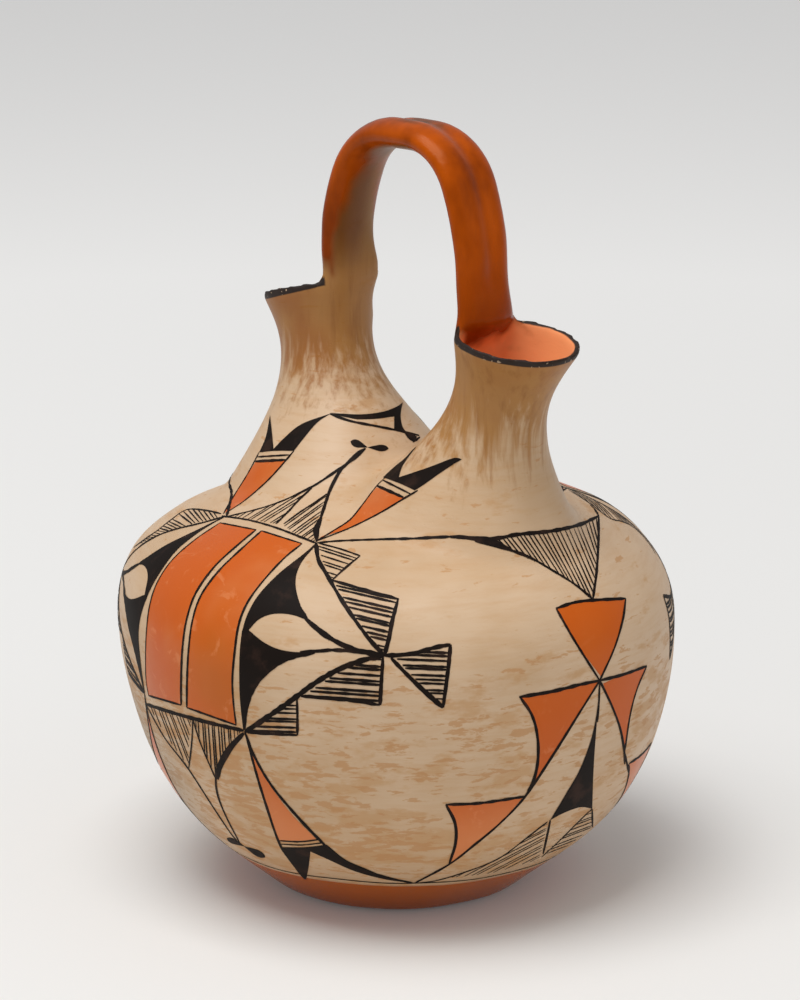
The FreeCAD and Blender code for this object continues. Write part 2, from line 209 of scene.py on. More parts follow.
# %% Light the world and lay the floor
world = bpy.data.worlds.new("studio")
bpy.context.scene.world = world
world.use_nodes = True
sky = world.node_tree.nodes["Background"]
sky.inputs["Color"].default_value = from_screen(250, 250, 252)
sky.inputs["Strength"].default_value = 0.4
bpy.context.scene.view_settings.view_transform = "Standard"

bpy.ops.object.select_all(action="DESELECT")
bpy.ops.mesh.primitive_circle_add(vertices=96, radius=7, fill_type="NGON", location=(0, 0, 0))
floor = bpy.context.object
floor.name = "floor"
floor_paper, tree, paper, place = new_finish("floor_paper")
paper.inputs["Base Color"].default_value = from_screen(232, 231, 228)
paper.inputs["Roughness"].default_value = 0.9
paper.inputs["Emission Color"].default_value = (1, 1, 1, 1)
way_off = put(tree, "ShaderNodeVectorMath", {0: place}, operation="LENGTH").outputs["Value"]
fade = {"Value": way_off, "From Min": 0.2, "From Max": 1.3, "To Min": 0.06, "To Max": 0.24}
glow = put(tree, "ShaderNodeMapRange", fade).outputs["Result"]
seen = put(tree, "ShaderNodeLightPath")
shown = 0.0
for kind in ("Camera", "Glossy", "Transmission"):
    shown = math_node(tree, "MAXIMUM", seen.outputs[f"Is {kind} Ray"], shown)
tree.links.new(times(tree, glow, shown), paper.inputs["Emission Strength"])
floor.data.materials.append(floor_paper)
print("floor ready")

# %% [markdown]
# ## The clay
#
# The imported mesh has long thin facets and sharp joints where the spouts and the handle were
# added. Real coils of clay are worked together with a wet thumb. A voxel remesh gives the
# whole vase an even net of small faces, and a few rounds of smoothing blend the joints. The
# inside of the globe needs fewer faces, so a decimate step thins the net mostly there.

# %% Copy the clay and remesh it
VOXEL = 1.75
MERGE_GAP = 0.001
SMOOTH_ROUNDS = 7


def select_only(thing):
    """Makes one object the only selected and active one."""
    bpy.ops.object.select_all(action="DESELECT")
    thing.select_set(True)
    bpy.context.view_layer.objects.active = thing


def merge_points(thing, gap):
    """Merges the points of a mesh that lie within a gap of each other."""
    select_only(thing)
    bpy.ops.object.mode_set(mode="EDIT")
    bpy.ops.mesh.select_all(action="SELECT")
    bpy.ops.mesh.remove_doubles(threshold=gap * MM)
    bpy.ops.object.mode_set(mode="OBJECT")


def apply_modifier(thing, kind, **settings):
    """Adds a modifier to an object, sets its options and applies it."""
    modifier = thing.modifiers.new(kind.lower(), kind)
    for name, setting in settings.items():
        setattr(modifier, name, setting)
    select_only(thing)
    bpy.ops.object.modifier_apply(modifier=modifier.name)


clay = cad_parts["wedding_vase"].copy()
clay.data = clay.data.copy()
clay.name = "vase_clay"
clay.parent = None
bpy.context.scene.collection.objects.link(clay)
clay.data.materials.clear()
merge_points(clay, MERGE_GAP)
apply_modifier(clay, "REMESH", mode="VOXEL", voxel_size=VOXEL * MM)
apply_modifier(clay, "SMOOTH", factor=0.5, iterations=SMOOTH_ROUNDS)
print("clay net:", len(clay.data.vertices), "points")

# %% [markdown]
# ## Where the spouts and the handle are
#
# The paint follows the form, so the script needs a few of the form's own sizes: the middle
# and radius of each spout's rings, and the line that runs through the middle of the handle.
# They're the sizes that the solid was made from.

# %% Name the sizes of spouts and handle
SPOUTS = {
    "near": {"side": 1, "skirt": (40.6, 0, 158), "mouth": (69.4, 0, 243), "lean": 10},
    "far": {"side": -1, "skirt": (-35.0, 0, 158), "mouth": (-49.6, 4, 249), "lean": 16},
}
RING_HEIGHTS = [158, 173, 195, 217, 231, 243]
RING_RADII = [58, 41, 26, 20, 22.6, 27]
WALL = 5.5
LIP = 4
LEG_TOP = 262
ARCH_TOP = 317.6
NEAR_LEG, NEAR_CROWN = 48.4, 15.0
FAR_LEG, FAR_CROWN = -31.0, 4.0
STRAP_WIDTH = 29
STRAP_THICKNESS = 13.5


def read_points(mesh):
    """Gives a mesh's points in millimetres, one row each."""
    flat = np.empty(len(mesh.vertices) * 3)
    mesh.vertices.foreach_get("co", flat)
    return flat.reshape(-1, 3) / MM


def write_points(mesh, points):
    """Puts points in millimetres back into a mesh."""
    mesh.vertices.foreach_set("co", (points * MM).ravel())
    mesh.update()


def out_of_strap(points):
    """Measures how far points lie outwards from the handle's middle line, in millimetres."""
    x, z = points[:, 0], points[:, 2]
    near = x > (NEAR_CROWN + FAR_CROWN) / 2
    reach = np.where(near, NEAR_LEG - NEAR_CROWN, FAR_CROWN - FAR_LEG)
    across = np.where(near, x - NEAR_CROWN, FAR_CROWN - x).clip(0) / reach
    rise = (z - LEG_TOP) / (ARCH_TOP - LEG_TOP)
    size = np.hypot(across, rise).clip(0.05)
    slope = np.hypot(across / reach, rise / (ARCH_TOP - LEG_TOP)) / size
    over_arch = (size - 1) / slope
    beside_leg = np.where(near, x - NEAR_LEG, FAR_LEG - x)
    return np.where(z > LEG_TOP, over_arch, beside_leg)


def ring_normal(spout):
    """Gives the way that a spout's rings face."""
    lean = math.radians(spout["lean"]) * spout["side"]
    return np.array([math.sin(lean), 0, math.cos(lean)])


def spout_measures(points, spout):
    """Gives each point's height share, its way from the spout's axis and the ring there."""
    low, high = np.array(spout["skirt"], float), np.array(spout["mouth"], float)
    normal = ring_normal(spout)
    axis = high - low
    share = (points - low) @ normal / (axis @ normal)
    middle = low + share[:, None] * axis
    middle[:, 1] = spout["mouth"][1] * share.clip(0, 1) ** 2
    away = np.linalg.norm(points - middle, axis=1)
    stretch = (RING_HEIGHTS[-1] - RING_HEIGHTS[0]) * share + RING_HEIGHTS[0]
    return share, away, np.interp(stretch, RING_HEIGHTS, RING_RADII)


def ramp(values, start, end):
    """Rises smoothly from 0 at start to 1 at end."""
    share = ((values - start) / (end - start)).clip(0, 1)
    return share * share * (3 - 2 * share)


points = read_points(clay.data)
print("clay spans", points.min(axis=0).round(1), points.max(axis=0).round(1))

# %% [markdown]
# The joints need more thumbing than the rest: the foot of each spout, and the places where
# the strap sits on a lip. A vertex group names those points, and a second smoothing works
# only there.

# %% Blend the joints
JOINT_ROUNDS = 34


def off_strap_line(points):
    """Measures how far points lie to either side of the strap's middle line."""
    return np.abs(points[:, 1] - np.interp(points[:, 0], [FAR_LEG, NEAR_LEG], [3.5, 0]))


def weigh(thing, name, weights):
    """Makes a vertex group from one weight per point, in steps of a tenth."""
    group = thing.vertex_groups.new(name=name)
    tenths = np.rint(weights * 10).astype(int)
    for tenth in range(1, 11):
        group.add(np.nonzero(tenths == tenth)[0].tolist(), tenth / 10, "REPLACE")


height = points[:, 2]
saddles = ramp(height, 234, 244) * ramp(height, 282, 266) * ramp(out_of_strap(points), 9, 5)
saddles = saddles * ramp(off_strap_line(points), 22, 17)
skirts = ramp(height, 152, 160) * ramp(height, 186, 172)
lips = np.zeros(len(points))
for spout in SPOUTS.values():
    share, _, _ = spout_measures(points, spout)
    lips = np.maximum(lips, 0.3 * ramp(share, 0.94, 0.98) * ramp(height, 268, 262))
weigh(clay, "joints", np.maximum.reduce([saddles, skirts, lips]))
apply_modifier(clay, "SMOOTH", factor=0.5, iterations=JOINT_ROUNDS, vertex_group="joints")
points = read_points(clay.data)
print("joints blended:", int((saddles > 0.5).sum()), "points at the saddles")

# %% [markdown]
# ## Traces of the hand
#
# No hand-built pot is a perfect turned shape. The globe sags a little to one side, the strap
# has two soft lobes with a groove between them where the fingers drew it, and the walls are
# slightly uneven. Moving each point by smooth functions of its place gives these traces. They
# move clay inwards or sideways only, so that the vase keeps to its measured box within about
# a quarter of a millimetre.

# %% Lean, groove and unevenness
SAG = 1.7
GROOVE = 1.9
UNEVEN = 0.35


def waves(points, scale, seed):
    """Gives a smooth uneven value from about -1 to 1 at each point, at a scale in mm."""
    rng = np.random.default_rng(seed)
    total = np.zeros(len(points))
    for _ in range(9):
        way = rng.normal(size=3)
        way /= np.linalg.norm(way)
        total += np.sin(points @ way * math.tau / (scale * rng.uniform(0.7, 1.5))
                        + rng.uniform(0, math.tau))
    return total / 4


def point_normals(mesh):
    """Gives a mesh's point normals, one row each."""
    flat = np.empty(len(mesh.vertices) * 3)
    mesh.vertex_normals.foreach_get("vector", flat)
    return flat.reshape(-1, 3)


normals = point_normals(clay.data)
height = points[:, 2]
globe_share = np.interp(height, [0, 25, 60, 100, 140, 170, 200], [0, 0.8, 1, 0, -1, -0.8, 0])
points = points + SAG * globe_share[:, None] * to_right
away_from_strap = out_of_strap(points)
on_strap = ramp(height, 252, 268)
beside = points[:, 1] - np.interp(points[:, 0], [FAR_LEG, NEAR_LEG], [2.5, 0])
outer_face = ramp(away_from_strap, 0, 4) * on_strap
groove = np.exp(-(((beside - 1.5) / 4.5) ** 2)) * GROOVE * outer_face
lumps = (waves(points, 45, 3) - 1.2) * UNEVEN
points = points + normals * (lumps - groove)[:, None]
print("sag, groove and lumps done")

# %% Press in the ear and swell the far saddle
EAR_PRESS = 3.2
STRAP_SWELL = 2.2

far_mouth = np.array(SPOUTS["far"]["mouth"], float)
round_mouth = np.degrees(np.arctan2(points[:, 1] - far_mouth[1], points[:, 0] - far_mouth[0]))
ear = np.exp(-(((round_mouth - 47) / 17) ** 2)) * ramp(height, 232, 246) * ramp(height, 262, 254)
ear = ear * (points[:, 0] < -10)
inwards = far_mouth - points
inwards[:, 2] = 0
inwards = inwards / np.linalg.norm(inwards, axis=1)[:, None].clip(1)
points = points + inwards * (EAR_PRESS * ear)[:, None]
leg_edge = ramp(points @ to_right - (FAR_LEG * to_right[0] + 2 * to_right[1]), 4, 12)
swell = leg_edge * np.exp(-(((height - 262) / 9) ** 2)) * (points[:, 0] < -10)
points = points + to_right * (STRAP_SWELL * swell)[:, None]
write_points(clay.data, points)
print("far saddle shaped")

# %% Thin the net inside the globe
FACE_BUDGET = 186000


def count_triangles(mesh):
    """Counts the triangles of a mesh."""
    mesh.calc_loop_triangles()
    return len(mesh.loop_triangles)


faces_axis = (normals[:, :2] * points[:, :2]).sum(axis=1) < 0
in_hollow = (height < 160) & (height > 3) & (faces_axis | (normals[:, 2] * (height - 90) < -30))
globe_skin = (height < 165) & ~in_hollow
weigh(clay, "thin_here", np.where(in_hollow, 1.0, np.where(globe_skin, 0.3, 0.0)))
keep = min(1, FACE_BUDGET / count_triangles(clay.data))
apply_modifier(clay, "DECIMATE", ratio=keep, vertex_group="thin_here")
bpy.ops.object.shade_smooth()
points = read_points(clay.data)
print("clay has", count_triangles(clay.data), "triangles")

# %% [markdown]
# ## Zones of slip on the clay
#
# Four finishes change along soft brushed borders: polished orange on the strap's outer face,
# matte salmon inside the spouts, a black line on each lip and a rust band on the foot. A
# border needs more detail than the net has. So each point stores how far inside a zone it
# lies, in millimetres, and the material draws the border where that distance is zero.

# %% Measure the zones
RIM_LINE = 3.2
OUTSIDE = -99


def store(mesh, name, values):
    """Stores one number per point of a mesh."""
    layer = mesh.attributes.new(name, "FLOAT", "POINT")
    layer.data.foreach_set("value", values.astype(np.float32))


def mouth_gap(points, spout):
    """Measures how far points lie from the circle along the top outer edge of a lip."""
    normal = ring_normal(spout)
    from_middle = points - np.array(spout["mouth"], float)
    up = from_middle @ normal
    level = np.linalg.norm(from_middle - up[:, None] * normal, axis=1)
    return np.hypot(level - (RING_RADII[-1] - 0.7), up + 1.2)


strap_gap = out_of_strap(points)
beside = off_strap_line(points)
height = points[:, 2]
near_arm = points[:, 0] > (NEAR_CROWN + FAR_CROWN) / 2
wrap = np.where(near_arm, 3.0, np.interp(height, [250, 262, 285], [0.5, 3.0, 4.4]))
strap_zone = np.minimum(strap_gap + wrap, STRAP_WIDTH / 2 + 4 - beside)
tongue_end = np.where(near_arm, 237, 247) + np.where(near_arm, 5, 13) * ramp(beside, 9, 15)
strap_zone = np.minimum(strap_zone, (height - tongue_end) * 0.35)
# Painted shade: how far a point lies on the strap's -Y side, where the handle is darkened.
shade_zone = 4 - points[:, 1] - 8 * near_arm
facing = point_normals(clay.data)
inside_zone = np.full(len(points), float(OUTSIDE))
rim_zone = inside_zone.copy()
for spout in SPOUTS.values():
    share, away, ring = spout_measures(points, spout)
    wall = np.where(share > 0.9, LIP, WALL)
    within = np.where((share > 0.3) & (share < 1.2), ring - wall / 2 - away, OUTSIDE)
    far_side = (spout["side"] < 0) & (points[:, 1] > 0)
    edge = np.where(far_side, 25, 15.2)
    off_strap = np.maximum(beside - edge, strap_gap - STRAP_THICKNESS / 2 - 2)
    off_wall = np.minimum(within, np.maximum(beside - 17, strap_gap - 3))
    within = np.where(share > 0.97, off_wall, within)
    outwards = points[:, :2] - np.array(spout["mouth"][:2], float)
    looks_out = (facing[:, :2] * outwards).sum(axis=1) > 0.35 * np.hypot(*outwards.T)
    within = np.where(looks_out & (height > 225), OUTSIDE, within)
    inside_zone = np.maximum(inside_zone, np.where(height < 270, within, OUTSIDE))
    rim = np.minimum(RIM_LINE - mouth_gap(points, spout), off_strap)
    rim_zone = np.maximum(rim_zone, rim)
zones = {"strap_zone": strap_zone, "inside_zone": inside_zone, "rim_zone": rim_zone,
         "shade_zone": shade_zone}
for name, values in zones.items():
    store(clay.data, name, values)
print("points in zones:", {name: int((values > 0).sum()) for name, values in zones.items()})

# %% [markdown]
# ## The clay's finish
#
# Cream slip was rubbed on in thin coats and polished with a stone. Low on the globe it wore
# through in small ochre streaks, and on the necks it ran down in brown drips. Noise that is
# stretched along the surface gives the streaks and drips, and each finish is mixed in by its
# zone. All patterns read the object's own coordinates, so they stay on the clay.

# %% Name the clay's colours
CREAM = from_screen(217, 187, 154)
WARM_CREAM = from_screen(203, 170, 133)
OCHRE = from_screen(194, 142, 90)
PALE_OCHRE = from_screen(196, 148, 96)
NECK_TAN = from_screen(172, 120, 58)
NECK_DRIP = from_screen(140, 84, 24)
NECK_RUST = from_screen(154, 92, 30)
LOW_GREY = from_screen(132, 124, 108)
SHADED_UNDER_TAN = from_screen(146, 100, 38)
SHADE_BROWN = from_screen(112, 60, 6)
STRAP_ORANGE = from_screen(182, 78, 4)
STRAP_DARK = from_screen(120, 44, 0)
SMUDGE = from_screen(56, 42, 10)
SALMON = from_screen(244, 154, 98)
RIM_BLACK = from_screen(40, 28, 22)
FOOT_RUST = from_screen(176, 84, 0)
FOOT_BAND = 20.6
LOW_GREY_PLACE = (-0.055, -0.085, 0.055)
SMUDGE_PLACE = (0.012, 0.001, 0.323)
print("colours named")

# %% Mix the cream, its wear and the necks
clay_finish, tree, shader, place = new_finish("burnished_clay")
parts = put(tree, "ShaderNodeSeparateXYZ", {0: place})
level = times(tree, parts.outputs["Z"], 1000)

clouds = step(tree, grain(tree, place, (1, 1, 1), 14, 3), 0.35, 0.7)
base = blend_in(tree, clouds, CREAM, WARM_CREAM)
brush = step(tree, grain(tree, place, (1, 1, 9), 42, 4, 0.65), 0.35, 0.8)
base = blend_in(tree, times(tree, brush, 0.34), base, PALE_OCHRE)

low_down = times(tree, step(tree, level, 138, 92), step(tree, level, 14, 44))
patches = grain(tree, place, (1, 1, 1.5), 13, 2)
soft_wear = grain(tree, place, (1, 1, 2.6), 44, 5, 0.6)
crisp_wear = grain(tree, place, (1, 1, 4.2), 95, 5, 0.62, 0.3)
more = times(tree, low_down, 0.12)
more = plus(tree, more, times(tree, patches, 0.24))
soft_worn = step(tree, plus(tree, soft_wear, more), 0.70, 0.84)
crisp_worn = step(tree, plus(tree, crisp_wear, more), 0.75, 0.80)
base = blend_in(tree, times(tree, soft_worn, 0.6), base, PALE_OCHRE)
base = blend_in(tree, times(tree, crisp_worn, 0.7), base, OCHRE)
worn = math_node(tree, "MAXIMUM", soft_worn, crisp_worn)

# A soft grey patch darkens the cream in one place low on the globe.
low_grey = cloud_at(tree, place, LOW_GREY_PLACE, times(tree, patches, 0.05), 0.085, 0.03)
base = blend_in(tree, times(tree, low_grey, 0.5), base, LOW_GREY)

runs = grain(tree, place, (11, 11, 0.7), 26, 4, 0.6, 0.2)
run_reach = times(tree, math_node(tree, "SUBTRACT", runs, 0.5), 75)
near_neck = step(tree, parts.outputs["X"], -0.01, 0.01)
neck_level = plus(tree, level, times(tree, near_neck, 12))
neck_share = step(tree, plus(tree, neck_level, run_reach), 198, 228)
fine_runs = step(tree, grain(tree, place, (8, 8, 0.8), 34, 4, 0.6), 0.45, 0.75)
neck = blend_in(tree, times(tree, fine_runs, 0.6), NECK_TAN, NECK_DRIP)
rusty = step(tree, grain(tree, place, (1, 1, 0.6), 26, 3), 0.44, 0.64)
neck = blend_in(tree, times(tree, rusty, 0.85), neck, NECK_RUST)
base = blend_in(tree, times(tree, neck_share, 0.92), base, neck)
# Above 252 mm the handle's bare clay takes a darker tan: its own tan with painted shade under the
# arch.
under_arch = step(tree, level, 252, 275)
base = blend_in(tree, under_arch, base, SHADED_UNDER_TAN)
clay.data.materials.append(clay_finish)
print("clay colours mixed")

# %% Lay the zones over the clay's colours
def zone(tree, name, uneven, soft):
    """Turns a stored distance in millimetres into a brushed border."""
    inside = put(tree, "ShaderNodeAttribute", attribute_name=name).outputs["Fac"]
    return step(tree, plus(tree, inside, uneven), -soft, soft)


def wobble(tree, place, scale, size):
    """Gives a border's unevenness in millimetres."""
    noise = math_node(tree, "SUBTRACT", grain(tree, place, (1, 1, 1), scale, 2), 0.5)
    return times(tree, noise, size * 2)


in_spout = zone(tree, "inside_zone", wobble(tree, place, 90, 0.8), 0.5)
base = blend_in(tree, in_spout, base, SALMON)
# Painted shade: above 250 mm the handle's -Y side darkens towards brown, under the orange laid
# next.
shade_edge = zone(tree, "shade_zone", wobble(tree, place, 45, 3), 5)
shade_edge = times(tree, shade_edge, step(tree, level, 250, 275))
base = blend_in(tree, times(tree, shade_edge, 0.8), base, SHADE_BROWN)
polish = step(tree, grain(tree, place, (1, 1, 0.4), 30, 4, 0.6), 0.38, 0.7)
strap_colour = blend_in(tree, polish, STRAP_ORANGE, STRAP_DARK)
near_side = step(tree, parts.outputs["X"], 0.0, 0.02)
# Painted shade: the near arm darkens towards its foot, where its face turns hollow.
valley_shade = times(tree, step(tree, level, 278, 250), near_side)
valley_shade = times(tree, valley_shade, 0.6)
strap_colour = blend_in(tree, valley_shade, strap_colour, STRAP_DARK)
ragged = times(tree, grain(tree, place, (1, 1, 1), 70, 3), 0.022)
smudged = cloud_at(tree, place, SMUDGE_PLACE, ragged, 0.024, 0.014)
strap_colour = blend_in(tree, times(tree, smudged, 0.85), strap_colour, SMUDGE)
on_strap = zone(tree, "strap_zone", wobble(tree, place, 60, 2.5), 1.2)
base = blend_in(tree, on_strap, base, strap_colour)
on_rim = zone(tree, "rim_zone", wobble(tree, place, 50, 0.35), 0.3)
chips = step(tree, grain(tree, place, (1, 1, 1), 520, 2), 0.66, 0.7)
rim_colour = blend_in(tree, times(tree, chips, 0.6), RIM_BLACK, CREAM)
base = blend_in(tree, on_rim, base, rim_colour)
foot_edge = plus(tree, level, wobble(tree, place, 30, 1.0))
on_foot = step(tree, foot_edge, FOOT_BAND + 0.6, FOOT_BAND - 0.6)
base = blend_in(tree, on_foot, base, FOOT_RUST)
tree.links.new(base, shader.inputs["Base Color"])
print("zones laid")

# %% [markdown]
# Polish differs from place to place too: the strap and the foot shine, the cream is a little
# duller, and the inside of the spouts and the rim line are matte. A fine bump stands for the
# strokes of the polishing stone and for small pits.

# %% Give the clay its gloss and its tool marks
WHITE_GLINT = (1, 1, 1, 1)
WARM_GLINT = (1, 0.7, 0.42, 1)

polished = math_node(tree, "MAXIMUM", on_strap, on_foot)
gloss = either(tree, worn, 0.42, 0.52)
gloss = either(tree, in_spout, gloss, 0.7)
gloss = either(tree, polished, gloss, 0.25)
gloss = either(tree, on_rim, gloss, 0.6)
tree.links.new(gloss, shader.inputs["Roughness"])
glint = blend_in(tree, polished, WHITE_GLINT, WARM_GLINT)
tree.links.new(glint, shader.inputs["Specular Tint"])
tree.links.new(either(tree, polished, 0.3, 0.17), shader.inputs["Specular IOR Level"])
stone_marks = grain(tree, place, (1, 1, 2.4), 150, 4, 0.6)
pits = put(tree, "ShaderNodeTexVoronoi", {"Vector": place, "Scale": 260}).outputs["Distance"]
pits = step(tree, pits, 0.0, 0.16)
relief = plus(tree, stone_marks, times(tree, pits, 0.35))
bump = put(tree, "ShaderNodeBump", {"Height": relief, "Strength": 0.22, "Distance": 0.0006})
tree.links.new(bump.outputs["Normal"], shader.inputs["Normal"])
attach(clay, "root")
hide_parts("wedding_vase")
print("clay finished")

# %% [markdown]
# ## Painting by the picture
#
# The ornament is a traditional one: a panel on each broad side, step and feather forms
# beside it, and triangles that hang under the spouts. A painter works straight on the
# curved clay. Here each brush line and each field was read off the photograph as a few
# points in pixels. A ray through the camera carries each point onto the clay. The two
# broad sides and the two halves of a side mirror each other, so one reading serves for
# several places. The paint is a very thin skin just above the clay.

# %% Carry picture points onto the clay
VASE_MIDDLE = (400, 600)
EDGE_NUDGE = 0.006
NUDGES = 40

clay_faces = [tuple(face.vertices) for face in clay.data.polygons]
clay_skin = BVHTree.FromPolygons([Vector(point) for point in points], clay_faces)
clay_normals = point_normals(clay.data)


def skin_normal(face):
    """Gives a smooth normal over one face of the clay."""
    return Vector(clay_normals[list(clay_faces[face])].mean(axis=0)).normalized()


def onto_clay(pixel):
    """Finds where the camera's ray through a pixel meets the clay, moving in from its edge."""
    across, down = pixel
    for _ in range(NUDGES):
        ray = (to_right * (across - PICTURE_WIDTH / 2) - to_top * (down - PICTURE_HEIGHT / 2)
               - to_camera * FOCAL_PIXELS)
        place, _, face, _ = clay_skin.ray_cast(Vector(eye), Vector(ray).normalized())
        if place is not None:
            return place
        across += (VASE_MIDDLE[0] - across) * EDGE_NUDGE
        down += (VASE_MIDDLE[1] - down) * EDGE_NUDGE
    raise ValueError(f"no clay under {pixel}")


print("skin ready:", len(clay_faces), "faces")

# %% Lay points on the copies of the front
LINE = 1.25
THIN = 0.95
HATCH = 0.8
ONCE = ["front"]
BOTH_SIDES = ["front", "back"]
BOTH_SPOUTS = ["front", "front_left"]
ALL_FOUR = ["front", "front_left", "back", "back_right"]
MIRROR = {"front": (1, 1), "front_left": (-1, 1), "back_right": (1, -1), "back": (-1, -1)}
COAT = {"orange": 0.10, "black": 0.17}
PANEL_TWIST = 1.7
BACK_DROOP = 9
PROBE_OUT = 15
PROBE_REACH = 32
NECK_HEIGHTS = [164, 180, 210, 245]
NECK_SHARES = [1, 0.84, 0.78, 0.72]
skins = {paint: {"points": [], "faces": []} for paint in COAT}


def settle(place, copy, coat):
    """Takes a point of the front to one of its copies and lays it just over the clay.

    The panel's middle lies a little off the vase's broad side. So a mirrored copy turns by
    twice that at the panel, and not at all under the spouts. High up, the far spout stands
    nearer to the axis than the near one, and paint that changes spouts moves with it. The
    steps of the one back quarter that the photograph shows hang a little lower. A copy
    comes down on the outer skin from outside, so that it can't land on the inner wall.
    """
    side_x, side_y = MIRROR[copy]
    nearer = float(np.interp(place.z, NECK_HEIGHTS, NECK_SHARES))
    if side_x < 0:
        side_x = -nearer if place.x > 0 else -1 / nearer
    moved = Vector((place.x * side_x, place.y * side_y, place.z))
    if copy == "back_right":
        angle = math.degrees(math.atan2(place.x, -place.y))
        belt = max(0, math.sin(math.pi * (place.z - 60) / 95))
        moved.z -= BACK_DROOP * belt * math.exp(-(((angle - 52) / 10) ** 2))
    if side_x * side_y < 0:
        share = max(0, -place.y) / max(1, math.hypot(place.x, place.y))
        moved.rotate(Euler((0, 0, math.radians(-2 * PANEL_TWIST * share))))
    spot, _, face, _ = clay_skin.find_nearest(moved)
    if copy != "front":
        outwards = skin_normal(clay_skin.find_nearest(place)[2])
        outwards.x *= math.copysign(1, side_x)
        outwards.y *= side_y
        struck = clay_skin.ray_cast(moved + outwards * PROBE_OUT, -outwards, PROBE_REACH)
        if struck[0] is not None:
            spot, _, face, _ = struck
    normal = skin_normal(face)
    return spot + normal * coat, normal


print("copies:", ", ".join(ALL_FOUR))

# %% Draw curves, fields, lines and hatching
def bend(points, spacing):
    """Runs a smooth curve through a few points and gives points along it."""
    known = [Vector(point) for point in points]
    ends = [known[0] * 2 - known[1]] + known + [known[-1] * 2 - known[-2]]
    curve = []
    for before, first, last, after in zip(ends, ends[1:], ends[2:], ends[3:]):
        count = max(1, round((last - first).length / spacing))
        for number in range(count):
            t = number / count
            curve.append(0.5 * (2 * first + (last - before) * t
                                + (2 * before - 5 * first + 4 * last - after) * t * t
                                + (3 * first - before - 3 * last + after) * t ** 3))
    return curve + [known[-1]]


def add_skin(paint, points, faces):
    """Adds points and faces to a paint's skin."""
    start = len(skins[paint]["points"])
    skins[paint]["points"] += points
    skins[paint]["faces"] += [tuple(start + corner for corner in face) for face in faces]


def fill(paint, *edges, copies=ALL_FOUR, pitch=6):
    """Fills the field inside a closed row of curved edges, given as picture points."""
    loop = [point for edge in edges for point in bend(edge, pitch * 0.66)[:-1]]
    low = Vector((min(p.x for p in loop), min(p.y for p in loop)))
    high = Vector((max(p.x for p in loop), max(p.y for p in loop)))
    inner = [
        Vector((x, y))
        for x in np.arange(low.x + pitch / 2, high.x, pitch)
        for y in np.arange(low.y + pitch / 2, high.y, pitch)
        if min((Vector((x, y)) - p).length for p in loop) > pitch * 0.45
    ]
    ring = [(i, (i + 1) % len(loop)) for i in range(len(loop))]
    flat, _, faces, *_ = delaunay_2d_cdt(loop + inner, ring, [], 1, 1e-4)
    places = [onto_clay(point) for point in flat]
    for copy in copies:
        flip = MIRROR[copy][0] * MIRROR[copy][1] > 0
        settled = [settle(place, copy, COAT[paint])[0] for place in places]
        add_skin(paint, settled, [face[::-1] if flip else face for face in faces])


def ribbon(paint, places, width, copies, taper=0.55):
    """Lays a brush line of a real width along points of the clay."""
    for copy in copies:
        spots = [settle(place, copy, COAT[paint]) for place in places]
        edges, run = [], 0.0
        for number, (spot, normal) in enumerate(spots):
            before = spots[max(0, number - 1)][0]
            after = spots[min(len(spots) - 1, number + 1)][0]
            run += (spot - before).length
            across = normal.cross(after - before).normalized()
            press = 1 + 0.16 * math.sin(run * 0.9 + spot.z) + 0.1 * math.sin(run * 2.3)
            if number in (0, len(spots) - 1):
                press *= taper
            half = across * (width * press / 2)
            for edge in (spot + half, spot - half):
                back, _, face, _ = clay_skin.find_nearest(edge)
                edges.append(back + skin_normal(face) * COAT[paint])
        faces = [(i, i + 1, i + 3, i + 2) for i in range(0, len(edges) - 2, 2)]
        add_skin(paint, edges, faces)


def line(points, width=LINE, copies=ALL_FOUR):
    """Paints one brush line along a smooth curve through picture points."""
    ribbon("black", [onto_clay(point) for point in bend(points, 4.5)], width, copies)


def rungs(first_edge, last_edge, count, width=HATCH, copies=ALL_FOUR):
    """Paints a row of thin lines, each from a place on one edge to its place on another."""
    sides = [bend(edge, 1) for edge in (first_edge, last_edge)]
    for number in range(count):
        share = (number + 0.5) / count
        start, end = [side[round(share * (len(side) - 1))] for side in sides]
        if (end - start).length > 3:
            ribbon("black", [onto_clay(point) for point in bend([start, end], 6)], width, copies)


def hatch(slope, gap, *edges, width=HATCH, copies=ALL_FOUR):
    """Fills a field with straight lines of one slope, a gap apart in picture points."""
    along = Vector((1, slope)).normalized()
    over = Vector((-along.y, along.x))
    loop = [point for edge in edges for point in bend(edge, 2)[:-1]]
    heights = [point.dot(over) for point in loop]
    rows = max(1, round((max(heights) - min(heights)) / gap))
    for row in range(rows):
        sway = 0.22 * math.sin(2.4 * row + len(loop))
        level = min(heights) + (row + 0.5 + sway) * (max(heights) - min(heights)) / rows
        cuts = []
        for first, last in zip(loop, loop[1:] + loop[:1]):
            before, after = first.dot(over) - level, last.dot(over) - level
            if (before < 0) != (after < 0):
                cuts.append((first + (last - first) * (before / (before - after))).dot(along))
        cuts.sort()
        for start, end in zip(cuts[::2], cuts[1::2]):
            if end - start > 2.5:
                ends = [along * spot + over * level for spot in (start, end)]
                ribbon("black", [onto_clay(p) for p in bend(ends, 6)], width, copies)


print("brushes ready")

# %% [markdown]
# ## The panel
#
# Each broad side has a panel like a woven cloth: two orange halves with a cream gap between
# them, inside a cream frame. The fields are filled first, then every edge gets its line.

